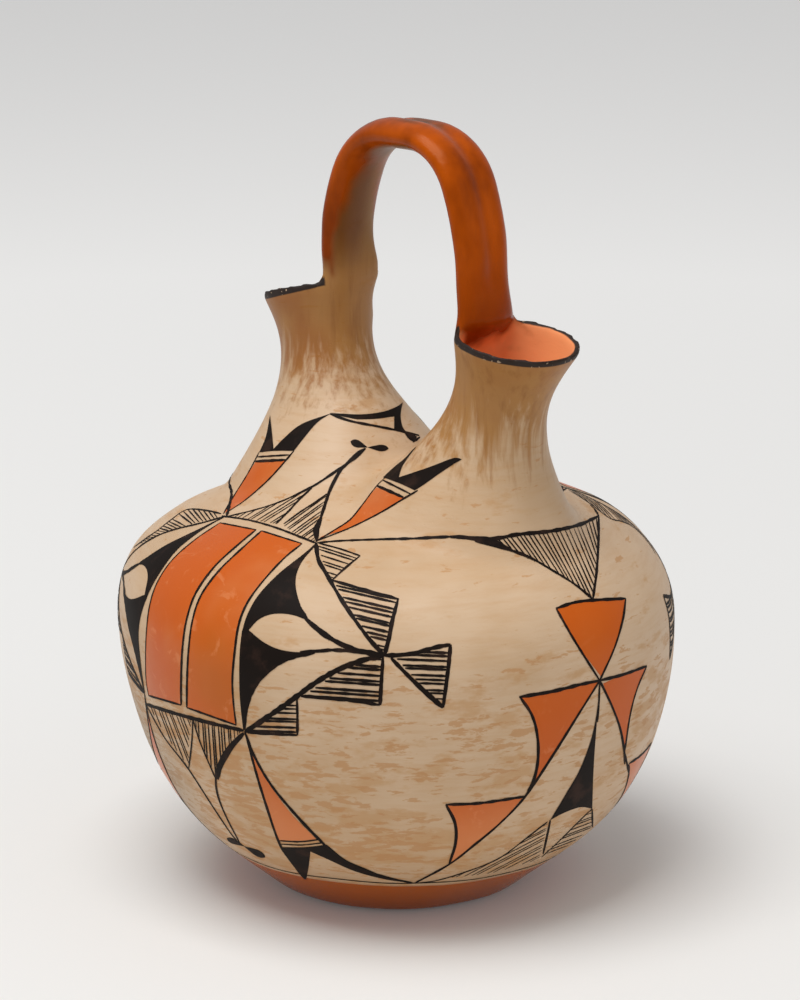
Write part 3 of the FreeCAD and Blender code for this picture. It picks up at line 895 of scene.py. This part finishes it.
# %% Paint the panel
PANEL_TOP = [(222, 516), (250, 520.5), (275, 527.5), (300, 537), (316.5, 543.5)]
PANEL_FOOT = [(146, 704), (172.5, 712.5), (205, 721.5), (230, 727.5), (244, 730.5)]
LEFT_HALF_LEFT = [(220, 523), (195, 540), (172.5, 560), (157.5, 582.5), (150, 605),
                  (146.8, 630), (145.8, 655), (146.3, 680), (148.8, 695.5)]
LEFT_HALF_RIGHT = [(256, 530), (234.5, 548), (213.5, 568), (195.5, 594), (186.5, 621),
                   (182.5, 650), (181.3, 680), (181.3, 705)]
RIGHT_HALF_LEFT = [(261.5, 531), (240, 550.5), (219, 571), (201.5, 595), (192.8, 620),
                   (188.8, 650), (187.3, 680), (187, 707.5)]
RIGHT_HALF_RIGHT = [(302, 543.8), (282.5, 560), (260, 585), (246.3, 605), (238.8, 625),
                    (235, 650), (232.5, 680), (233.8, 705), (236.3, 725)]
for left, right in ((LEFT_HALF_LEFT, LEFT_HALF_RIGHT), (RIGHT_HALF_LEFT, RIGHT_HALF_RIGHT)):
    top = [left[0], right[0]]
    foot = [right[-1], left[-1]]
    fill("orange", left[::-1], top, right, foot, copies=BOTH_SIDES)
    line(top, THIN, BOTH_SIDES)
    line(foot, THIN, BOTH_SIDES)
line(LEFT_HALF_LEFT, THIN, BOTH_SIDES)
line(LEFT_HALF_RIGHT, 1.15, BOTH_SIDES)
line(RIGHT_HALF_LEFT, 1.15, BOTH_SIDES)
line(RIGHT_HALF_RIGHT, THIN, BOTH_SIDES)
line(PANEL_TOP, 1.2, BOTH_SIDES)
line(PANEL_FOOT, 1.7, BOTH_SIDES)
print("panel painted")

# %% [markdown]
# ## Leaves and steps beside the panel
#
# Beside the panel a black ground leaves cream leaves bare. Its stems meet in one node, and
# hatched steps hang on them. On the other half of the side, the mirrored copy runs to the
# edge of the view.

# %% Paint the black ground and its stems
NODE_TOP = (316, 543)
NODE_FOOT = (245, 732)
NODE_SIDE = (384, 655.5)
FRAME_SIDE = [(316, 544), (300, 557), (277.5, 575), (258, 596), (247.3, 615), (242, 632),
              (240, 650), (239.4, 675), (240.2, 700), (243, 731)]
LOBE_SIDE = [(316, 544), (305, 556), (297.5, 567.5), (294.5, 580), (295.5, 595),
             (300, 607.5), (307.5, 618.5)]
LEAF_TOP = [(248.8, 630), (260, 618.8), (275, 613.8), (292.5, 615), (307.5, 620.5)]
LEAF_FOOT = [(248.8, 630), (262.5, 641.3), (277.5, 648.8), (295, 652), (315, 651.5)]
LOWER_LOBE = [(245, 730), (246.5, 712), (252.5, 692.5), (262.5, 677.5), (277.5, 665),
              (292.5, 658), (315, 653)]
fill("black", FRAME_SIDE[:6], [(242, 632), (248.8, 630)], LEAF_TOP, LOBE_SIDE[::-1])
fill("black", [(242, 631), (248.8, 630)], LEAF_FOOT, LOWER_LOBE[::-1],
     [(243.5, 731), (240.2, 700), (239.4, 675), (240, 650), (242, 632)])
line([(305, 618), (315, 627), (330, 638), (350, 648), (370, 653), NODE_SIDE], 2.0)
line([(300, 652), (320, 651), (332, 650), (350, 651), (367, 653), NODE_SIDE], 1.4)
line([NODE_FOOT, (267.5, 717), (292.5, 699.5), (315, 683), (337.5, 670), (360, 661), NODE_SIDE],
     2.1)
line([NODE_TOP, (318.5, 560), (327, 575), (340, 597.5), (355, 620), (370, 640), (383, 654)], 1.6)
line(LOBE_SIDE, 1.2)
line(LOWER_LOBE, 1.1)
print("ground painted")

# %% Paint the hatched steps
hatch(0.32, 4.2, [(318, 545), (324, 565), (332, 580)], [(332, 580), (346, 567), (359, 556)],
      [(359, 556), (340, 550), (318, 545)], width=0.85, copies=BOTH_SIDES)
line([(319, 543.5), (340, 549), (360, 556)], 1.0, BOTH_SIDES)
line([(360, 556), (346, 567.5), (332, 580.5)], 1.0, BOTH_SIDES)
hatch(0.23, 4.7, [(334, 582), (355, 617), (384, 653)], [(384, 653), (391, 625), (397, 600)],
      [(397, 600), (365, 591), (334, 582)], width=1.1, copies=BOTH_SIDES)
line([(332.5, 580.5), (365, 590), (399, 599.5)], 1.5, BOTH_SIDES)
line([(398, 599.5), (392.5, 620), (389, 638), (384.5, 655)], 1.5, BOTH_SIDES)
LEAF_BACK = [(221, 514), (207, 510.7), (187, 509.7), (171.3, 519.8), (157.3, 530.7), (145, 539.2),
             (134, 547.5)]
line(LEAF_BACK, 1.1, BOTH_SIDES)
rungs([(216, 512.5), (203, 510), (187, 509.7), (177, 516)],
      [(219, 517), (213, 519), (203, 521.5), (190, 524.5)], 8, 0.75, BOTH_SIDES)
rungs([(174, 518), (157.3, 530.7), (145, 539.2), (138, 544.5)],
      [(187, 525.5), (167, 532.2), (151, 538.4), (141, 543.5)], 12, 0.75, BOTH_SIDES)
hatch(0.04, 4.7, [(395, 655), (430, 649), (450, 645)], [(450, 645), (447, 675), (443, 706)],
      [(443, 706), (420, 684), (395, 657)], width=1.05)
line([NODE_SIDE, (400, 655), (415, 653), (435, 647.5), (450.5, 644.5)], 1.7)
line([(450.5, 644.5), (448, 670), (443, 707.5)], 1.4)
line([(391, 658), (410, 677.5), (427.5, 694), (443, 707.5)], 1.8)
hatch(0.07, 5.4, [(382, 658), (345, 669), (303, 696)], [(303, 696), (340, 699), (380, 704)],
      [(380, 704), (382, 680), (382, 658)], width=1.15)
line([(383, 657), (381.5, 680), (380, 705)], 1.5)
line([(380, 705), (355, 701), (330, 698.5), (301, 696)], 1.4)
hatch(0.03, 4.6, [(297, 698), (270, 715), (247, 731)], [(247, 731), (270, 733), (297, 734)],
      [(297, 734), (297, 716), (297, 698)], width=1.0)
line([(297, 698), (297.5, 716), (297.5, 735)], 1.2)
line([(297.5, 735), (270, 733.8), (247.5, 732.5)], 1.2)
print("steps painted")

# %% [markdown]
# ## Feathers
#
# A feather is an orange blade with two cream bars and a black forked tip. One rises from each
# upper corner of the panel, and one hangs from each lower corner.

# %% Paint the feathers
fill("orange", [(319, 538), (335, 530), (350, 520), (362.5, 505), (376.5, 487.5)],
     [(376.5, 487.5), (405, 497.5)], [(405, 497.5), (380, 512.5), (350, 527.5), (319, 538)],
     copies=BOTH_SIDES)
line([(317, 541), (335, 530), (350, 520), (362.5, 505), (376, 487), (386, 477)], 0.9,
     BOTH_SIDES)
line([(317, 541), (350, 528), (380, 513), (405, 498), (418, 490.5)], 0.9, BOTH_SIDES)
line([(377.5, 486), (403.5, 497.5)], 1.3, BOTH_SIDES)
line([(382.5, 480), (411, 494.2)], 0.85, BOTH_SIDES)
PRONGS = {
    "front": ([(404.3, 463.5), (411.3, 453.5), (417, 446.2)],
              [(417, 446.2), (412.3, 450.5), (404.8, 458.6)]),
    "back": ([(408, 458)], [(408, 458)]),
}
for copy, (prong_side, prong_edge) in PRONGS.items():
    fill("black", [(383.3, 477.5), (395, 481.7), (403.3, 485), (415, 490.5)],
         [(415, 490.5), (425, 484), (440, 473.3), (455, 463.3)], [(455, 463.3), (462, 459.5)],
         [(462, 459.5), (457.5, 457.8), (450, 459.2), (430, 467), (399, 477.5)],
         [(399, 477.5), (401.3, 469.5)] + prong_side,
         prong_edge + [(394.5, 467), (383.3, 477.5)],
         copies=[copy], pitch=3)
fill("orange", [(224.5, 513), (235, 495), (247.5, 475), (255.5, 462)],
     [(255.5, 462), (285, 460.5)], [(285, 460.5), (275, 472.5), (260, 487.5), (242.5, 502.5),
     (224.5, 513)], copies=BOTH_SIDES)
line([(223.5, 514), (235, 494.5), (247.5, 474.5), (259.5, 452)], 0.9, BOTH_SIDES)
line([(226, 513), (243, 502), (261, 487), (276, 472), (294, 451)], 0.9, BOTH_SIDES)
line([(255.5, 461.5), (286, 460)], 1.3, BOTH_SIDES)
line([(257.5, 457), (289.5, 455)], 0.8, BOTH_SIDES)
fill("black", [(259.5, 452.5), (275, 451), (294, 451)],
     [(294, 451), (305, 437), (317.5, 422.5), (331, 413.5)],
     [(331, 413.5), (302, 424), (285, 437.5), (273.8, 449)],
     [(273.8, 449), (272, 430), (270.3, 415)], [(270.3, 415), (266, 437), (259.5, 452.5)],
     copies=BOTH_SIDES)
fill("orange", [(249, 741), (255, 765), (265, 800), (278.8, 840)],
     [(278.8, 840), (300, 840.5), (316, 838.8)],
     [(316, 838.8), (292.5, 815), (270, 785), (255, 757.5), (249, 741)])
line([(246, 734), (255, 768), (265, 801), (279, 842), (290, 860), (305, 879)], 1.3)
line([NODE_FOOT, (255, 757), (270, 783), (290, 808), (316, 836), (345, 862), (380, 875),
      (413, 883)], 1.5)
line([(279, 840.5), (300, 841.5), (318, 839.5)], 0.9)
line([(280.5, 844), (302, 844.8), (324, 842.5)], 0.7)
fill("black", [(281.3, 847), (305, 847), (327, 844.5)],
     [(327, 844.5), (345, 859), (365, 868), (385, 876), (413.8, 883)],
     [(413.8, 883), (385, 879), (355, 871), (330, 860), (310.5, 851.3)],
     [(310.5, 851.3), (309, 865), (306.3, 879.5)], [(306.3, 879.5), (292, 862), (281.3, 847)])
print("feathers painted")

# %% [markdown]
# ## Over the panel
#
# Two hatched wings stand on the panel's top edge. Their stems rise to a pair of small leaves
# between the necks, and a black band with a cream cell crosses the saddle.

# %% Paint the wings, stems and leaves over the panel
def leaf(root, tip, width, copies):
    """Paints a small solid leaf that is pointed at its root and widest past its middle."""
    root, tip = Vector(root), Vector(tip)
    along = tip - root
    over = Vector((-along.y, along.x)).normalized() * width / 2
    shape = [(0, 0), (0.3, 0.55), (0.62, 1), (0.88, 0.72), (1, 0)]
    first = [root + along * far + over * wide for far, wide in shape]
    last = [root + along * far - over * wide for far, wide in shape]
    fill("black", first, last[::-1], copies=copies, pitch=2.2)


leaf((367.5, 447.5), (350.5, 441.5), 7.5, ONCE)
leaf((367.5, 447.5), (388.5, 448.5), 6.5, ONCE)
leaf((345, 465.5), (330, 461), 6.5, ["back"])
leaf((345, 465.5), (363, 464.5), 6, ["back"])
line([(365.5, 448.5), (355, 458), (338, 470)], 1.2, ONCE)
line([(365.5, 448.5), (356, 455), (340, 471)], 1.4, ONCE)
line([(344.5, 466), (338, 470), (317, 484), (302, 492), (280, 502), (255, 510), (228, 516.5)],
     1.2, BOTH_SIDES)
line([(344.5, 466), (340, 471), (331, 488), (325, 505), (319, 525), (316.5, 542)], 1.4,
     BOTH_SIDES)
line([(312, 488), (300, 499), (289, 511), (276, 524)], 1.2, BOTH_SIDES)
line([(284, 524), (302, 511), (316, 502), (327, 494)], 1.1, BOTH_SIDES)
hatch(-0.62, 3.1, [(232, 516.5), (262, 508), (285, 500), (311, 488)],
      [(311, 488), (298, 501), (276, 524)], [(276, 524), (252, 520), (232, 516.5)],
      width=0.7, copies=BOTH_SIDES)
hatch(-0.72, 3.1, [(284, 526), (302, 512), (327, 494)], [(327, 494), (320, 515), (316, 542)],
      [(316, 542), (300, 537), (284, 526)], width=0.7, copies=BOTH_SIDES)
fill("black", [(316.5, 543), (318, 530), (321.5, 515)], [(321.5, 515), (313, 530), (316.5, 543)],
     copies=BOTH_SIDES, pitch=4)
print("wings painted")

# %% Paint the band over the saddle
fill("black", [(330, 413), (360, 414.5), (382, 412), (396, 407), (402.5, 402.5)],
     [(402.5, 402.5), (400.5, 415), (402.5, 427), (408, 434)],
     [(408, 434), (398, 431.5), (394, 430)], [(394, 430), (394, 416.5)],
     [(394, 416.5), (375, 419), (357, 419.5)], [(357, 419.5), (342, 416.5), (330, 413)],
     copies=ONCE, pitch=4)
line([(330, 414), (350, 421), (375, 426), (395, 430), (410, 433.5), (419, 435.5)], 1.2, ONCE)
fill("black", [(403, 431), (410, 433), (417, 437)], [(417, 437), (413, 442)],
     [(413, 442), (408, 438.5), (403, 431)], copies=ONCE, pitch=2.5)
line([(412.8, 442.3), (416, 440), (419.8, 437)], 1.0, ONCE)
print("saddle painted")

# %% [markdown]
# ## Horn and triangles
#
# A long thin line leaves the panel's corner and grows into a hatched horn at each spout's
# foot. Under each spout three orange triangles meet in a node, and a black drop and two
# hatched leaves hang below it, down to the line round the foot.

# %% Paint the long line and the horn
HORN_TOP = [(450, 536.5), (493, 538.5), (517, 534.5), (551.5, 531), (580, 524.5), (598.5, 516)]
line([(317, 543), (340, 541), (380, 539.5), (414, 538.6)], 1.3,
     ["front", "front_left", "back_right"])
line([(317, 543), (340, 546.5), (362, 553), (382, 559.5), (402, 561.5)], 1.3, ["back"])
line([(414, 538.6), (432, 537.6), (450, 536.7)], 1.3, BOTH_SPOUTS)
fill("black", [(448, 536), (470, 536.5), (494, 538.5)],
     [(494, 538.5), (500, 542), (512, 549)], [(512, 549), (490, 545), (470, 540), (448, 538)],
     copies=BOTH_SPOUTS, pitch=4)
line(HORN_TOP, 1.5, BOTH_SPOUTS)
line([(475, 541), (503, 548), (528.5, 557), (551.5, 570), (574, 584), (592, 598.5)], 1.3,
     BOTH_SPOUTS)
line([(598.5, 516), (598.5, 537), (596.5, 571), (592.8, 598.5)], 1.1, BOTH_SPOUTS)
line([(590, 505), (594.5, 509), (598.5, 516)], 1.3, BOTH_SPOUTS)
rungs([(496, 539.5), (517, 535), (551, 531.5), (580, 525), (598, 517.5)],
      [(505, 548.5), (551, 569.5), (574, 583.5), (592, 597), (594.5, 580), (597.5, 550),
       (598.5, 534)], 24, 0.7, BOTH_SPOUTS)
print("horn painted")

# %% Paint the triangles under the spout
NODE_SPOUT = (599.5, 680.5)
BIG_CURVE = [NODE_SPOUT, (580, 711.5), (551.5, 757), (524.5, 797), (500, 823), (474.5, 844.5),
             (448.5, 864.5), (414.5, 883)]
fill("orange", [(556, 608.5), (580, 601.5), (625.5, 598.5)],
     [(625.5, 598.5), (622.5, 620), (614, 648.5), (601, 677)],
     [(601, 677), (574, 640), (556, 608.5)], copies=BOTH_SPOUTS)
line([(556, 608.5), (580, 601.5), (625.5, 598.5)], 1.3, BOTH_SPOUTS)
line([(625.5, 598.5), (622.5, 620), (614, 648.5), NODE_SPOUT], 1.2, BOTH_SPOUTS)
line([(556, 608.5), (574, 640), NODE_SPOUT], 1.2, BOTH_SPOUTS)
fill("orange", [(520, 697), (551.5, 691.5), (580, 684.5), (598, 681.5)],
     [(598, 681.5), (580, 711.5), (551.5, 757), (528.5, 792)],
     [(528.5, 792), (534.5, 777), (538, 757), (537, 734), (531.5, 714.5), (520, 697)],
     copies=BOTH_SPOUTS)
line([(519, 697), (551.5, 691.5), (580, 684.5), NODE_SPOUT], 1.5, BOTH_SPOUTS)
line([(520, 697), (531.5, 714.5), (537, 734), (538, 757), (534.5, 777), (527, 794)], 1.4,
     BOTH_SPOUTS)
line(BIG_CURVE, 1.3, BOTH_SPOUTS)
line(BIG_CURVE[3:], 1.3, ["back_right", "back"])
fill("orange", [(603, 683.5), (623, 674.5), (646.5, 666)],
     [(646.5, 666), (637, 688.5), (630, 714.5), (624.5, 745)],
     [(624.5, 745), (620, 728.5), (611.5, 705.5), (603, 683.5)], copies=BOTH_SPOUTS)
line([NODE_SPOUT, (623, 674.5), (646.5, 666)], 1.3, BOTH_SPOUTS)
line([(646.5, 666), (637, 688.5), (630, 714.5), (624.5, 751)], 1.1, BOTH_SPOUTS)
line([NODE_SPOUT, (611.5, 705.5), (620, 728.5), (624, 751), (624.5, 764)], 1.4, BOTH_SPOUTS)
line([(624.2, 752), (626.4, 762), (628.6, 773)], 1.3, ONCE)
print("triangles painted")

# %% Paint the lower triangles, the drop and the leaves under the spout
fill("orange", [(446, 804.5), (480, 803), (523, 797)],
     [(523, 797), (500, 823), (474.5, 844.5), (451.5, 862)],
     [(451.5, 862), (455.5, 843), (455, 823), (446, 804.5)])
line([(445.5, 804.5), (480, 803), (524, 796.5)], 1.4)
line([(446, 804.5), (455, 823), (455.5, 843), (449, 864)], 1.4)
fill("black", [NODE_SPOUT, (597, 708.5), (591.5, 737), (580, 768.5), (565.5, 794), (550, 820)],
     [(550, 820), (563, 813), (580, 807), (592, 808.5)],
     [(592, 808.5), (593.5, 765.5), (596.5, 723), NODE_SPOUT], copies=BOTH_SPOUTS)
line([NODE_SPOUT, (598.8, 700), (597.3, 722)], 1.0, BOTH_SPOUTS)
line([(550, 820), (548.5, 828.5), (543, 854)], 1.0, BOTH_SPOUTS)
line([(592, 808.5), (577, 823), (560, 840), (541.5, 857)], 1.0, BOTH_SPOUTS)
line([(547.5, 821.5), (527.5, 837), (502.5, 856), (477.5, 867.5), (440, 879.5), (416, 883)], 0.9,
     BOTH_SPOUTS)
hatch(-0.52, 2.6, [(547.5, 822.5), (527.5, 837.5), (502.5, 856), (477.5, 868), (445, 878)],
      [(445, 878), (490, 873), (515, 866), (539, 859)], [(539, 859), (543.5, 841), (547.5, 822.5)],
      width=0.62, copies=BOTH_SPOUTS)
hatch(-0.38, 2.7, [(591, 809), (577.5, 822.5), (558.8, 840), (543, 854)],
      [(543, 854), (560, 850), (578, 838), (592.5, 826)], [(592.5, 826), (592, 815), (591, 809)],
      width=0.7, copies=BOTH_SPOUTS)
line([(592, 808.5), (592.3, 827)], 0.9, BOTH_SPOUTS)
print("drop and leaves painted")

# %% [markdown]
# ## Under the panel and round the foot
#
# Small hatched drops hang from the panel's lower edge between long stems, with two small
# leaves at their ends. One thin dark line closes the ornament above the rust foot.

# %% Paint the drops under the panel and the foot's line
line([(147, 706), (165, 738), (188, 768), (212, 805), (233, 836), (244, 846)], 1.2, BOTH_SIDES)
line([(244, 733), (230, 746), (219, 765), (216, 780), (218.5, 797), (227, 818), (240, 843)], 1.3,
     BOTH_SIDES)
line([(244, 733), (231, 747), (221, 764), (217.5, 779)], 2.3, BOTH_SIDES)
leaf((244, 846), (227, 838), 5, BOTH_SIDES)
leaf((244, 846), (265.5, 857), 6, BOTH_SIDES)
hatch(2.6, 2.9, [(149, 706), (170, 712), (192, 719)], [(192, 719), (189, 742), (189, 767)],
      [(189, 767), (168, 738), (149, 706)], width=0.8, copies=BOTH_SIDES)
hatch(14, 3.1, [(194, 719), (218, 726), (242, 731)], [(242, 731), (227, 748), (216, 778)],
      [(216, 778), (202, 745), (194, 719)], width=0.85, copies=BOTH_SIDES)
line([(193, 719), (201, 744), (216, 779)], 1.1, BOTH_SIDES)
line([(193, 719), (192, 742), (189, 768)], 1.0, BOTH_SIDES)
FOOT_LINE_HEIGHTS = [onto_clay(p).z for p in ((305, 880.5), (380, 884.5), (442, 880), (506, 866))]
foot_line_height = sum(FOOT_LINE_HEIGHTS) / len(FOOT_LINE_HEIGHTS)
ring = []
for number in range(181):
    angle = math.tau * number / 180
    height = foot_line_height + 0.35 * math.sin(5 * angle) + 0.25 * math.sin(11 * angle + 1)
    outwards = Vector((math.cos(angle), math.sin(angle), 0))
    ring.append(clay_skin.ray_cast(Vector((0, 0, height)) + outwards * 200, -outwards)[0])
ribbon("black", ring, 0.8, ONCE, taper=1)
print("foot line at", round(foot_line_height, 1), "mm;", [round(h, 1) for h in FOOT_LINE_HEIGHTS])

# %% [markdown]
# ## The paints as pieces
#
# All fields and lines of one paint become one piece. Its normals are taken from the clay
# below, so that it catches the light as one surface with the clay.

# %% Make the paint pieces
def make_paint(name, paint):
    """Makes one mesh from a paint's points and faces, with the clay's smooth normals."""
    mesh = bpy.data.meshes.new(name)
    mesh.from_pydata([point * MM for point in skins[paint]["points"]], [], skins[paint]["faces"])
    mesh.validate()
    mesh.shade_smooth()
    normals = []
    for vertex in mesh.vertices:
        face = clay_skin.find_nearest(vertex.co / MM)[2]
        normals.append(skin_normal(face))
    mesh.normals_split_custom_set_from_vertices(normals)
    piece = bpy.data.objects.new(name, mesh)
    bpy.context.scene.collection.objects.link(piece)
    return piece


def turned_in(mesh):
    """Counts the faces of a paint that point into the clay."""
    count = 0
    for face in mesh.polygons:
        below = clay_skin.find_nearest(face.center / MM)[2]
        count += face.normal.dot(skin_normal(below)) < 0
    return count


orange_paint = make_paint("orange_slip", "orange")
black_paint = make_paint("black_paint", "black")
for piece in (orange_paint, black_paint):
    print(piece.name, count_triangles(piece.data), "triangles, turned in:", turned_in(piece.data))

# %% [markdown]
# ## The finish of the paints
#
# The orange slip is polished: it has a soft gloss, cloudy brush marks and fine scratches.
# The black is a thin wash of plant and mineral paint that sank into the slip, so it is matte,
# a little brown, and paler where the brush ran dry.

# %% Finish the paints
SLIP_ORANGE = from_screen(204, 94, 28)
SLIP_PALE = from_screen(208, 114, 56)
SLIP_BURNT = from_screen(206, 92, 0)
SLIP_THIN = from_screen(224, 138, 82)
SLIP_BROWN = from_screen(186, 98, 20)
SLIP_CLOUD = from_screen(232, 152, 100)
PAINT_BLACK = from_screen(22, 13, 8)
PAINT_BROWN = from_screen(52, 34, 26)
BROWN_PIXEL = (222, 690)

orange_finish, tree, shader, place = new_finish("polished_orange_slip")
cloud = step(tree, grain(tree, place, (1, 1, 0.6), 24, 3, 0.55), 0.38, 0.68)
colour = blend_in(tree, cloud, SLIP_ORANGE, SLIP_PALE)
burnt = step(tree, grain(tree, place, (1.4, 1.4, 0.6), 15, 3, 0.5), 0.5, 0.72)
colour = blend_in(tree, times(tree, burnt, 0.8), colour, SLIP_BURNT)
ragged = times(tree, grain(tree, place, (1, 1, 1), 30, 3), 0.03)
browned = cloud_at(tree, place, onto_clay(BROWN_PIXEL) * MM, ragged, 0.045, 0.02)
colour = blend_in(tree, times(tree, browned, 0.6), colour, SLIP_BROWN)
marks = step(tree, grain(tree, place, (1, 1, 1), 75, 4, 0.6, 1.6), 0.58, 0.7)
colour = blend_in(tree, times(tree, marks, 0.3), colour, SLIP_CLOUD)
parts = put(tree, "ShaderNodeSeparateXYZ", {0: place})
high = step(tree, parts.outputs["Z"], 0.08, 0.105)
thick = times(tree, step(tree, parts.outputs["X"], 0.07, 0.095), high)
colour = blend_in(tree, times(tree, thick, 0.8), colour, SLIP_BURNT)
thin = step(tree, parts.outputs["Z"], 0.075, 0.045)
colour = blend_in(tree, times(tree, thin, 0.75), colour, SLIP_THIN)
tree.links.new(colour, shader.inputs["Base Color"])
shader.inputs["Roughness"].default_value = 0.3
shader.inputs["Specular IOR Level"].default_value = 0.24
orange_paint.data.materials.append(orange_finish)

black_finish, tree, shader, place = new_finish("black_plant_paint")
dry = step(tree, grain(tree, place, (1, 1, 1), 90, 4, 0.6), 0.5, 0.75)
colour = blend_in(tree, dry, PAINT_BLACK, PAINT_BROWN)
tree.links.new(colour, shader.inputs["Base Color"])
shader.inputs["Roughness"].default_value = 0.6
shader.inputs["Specular IOR Level"].default_value = 0.12
black_paint.data.materials.append(black_finish)

for piece in (orange_paint, black_paint):
    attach(piece, "root")
print("paints finished")

# %% Update the scene and finish
bpy.context.view_layer.update()
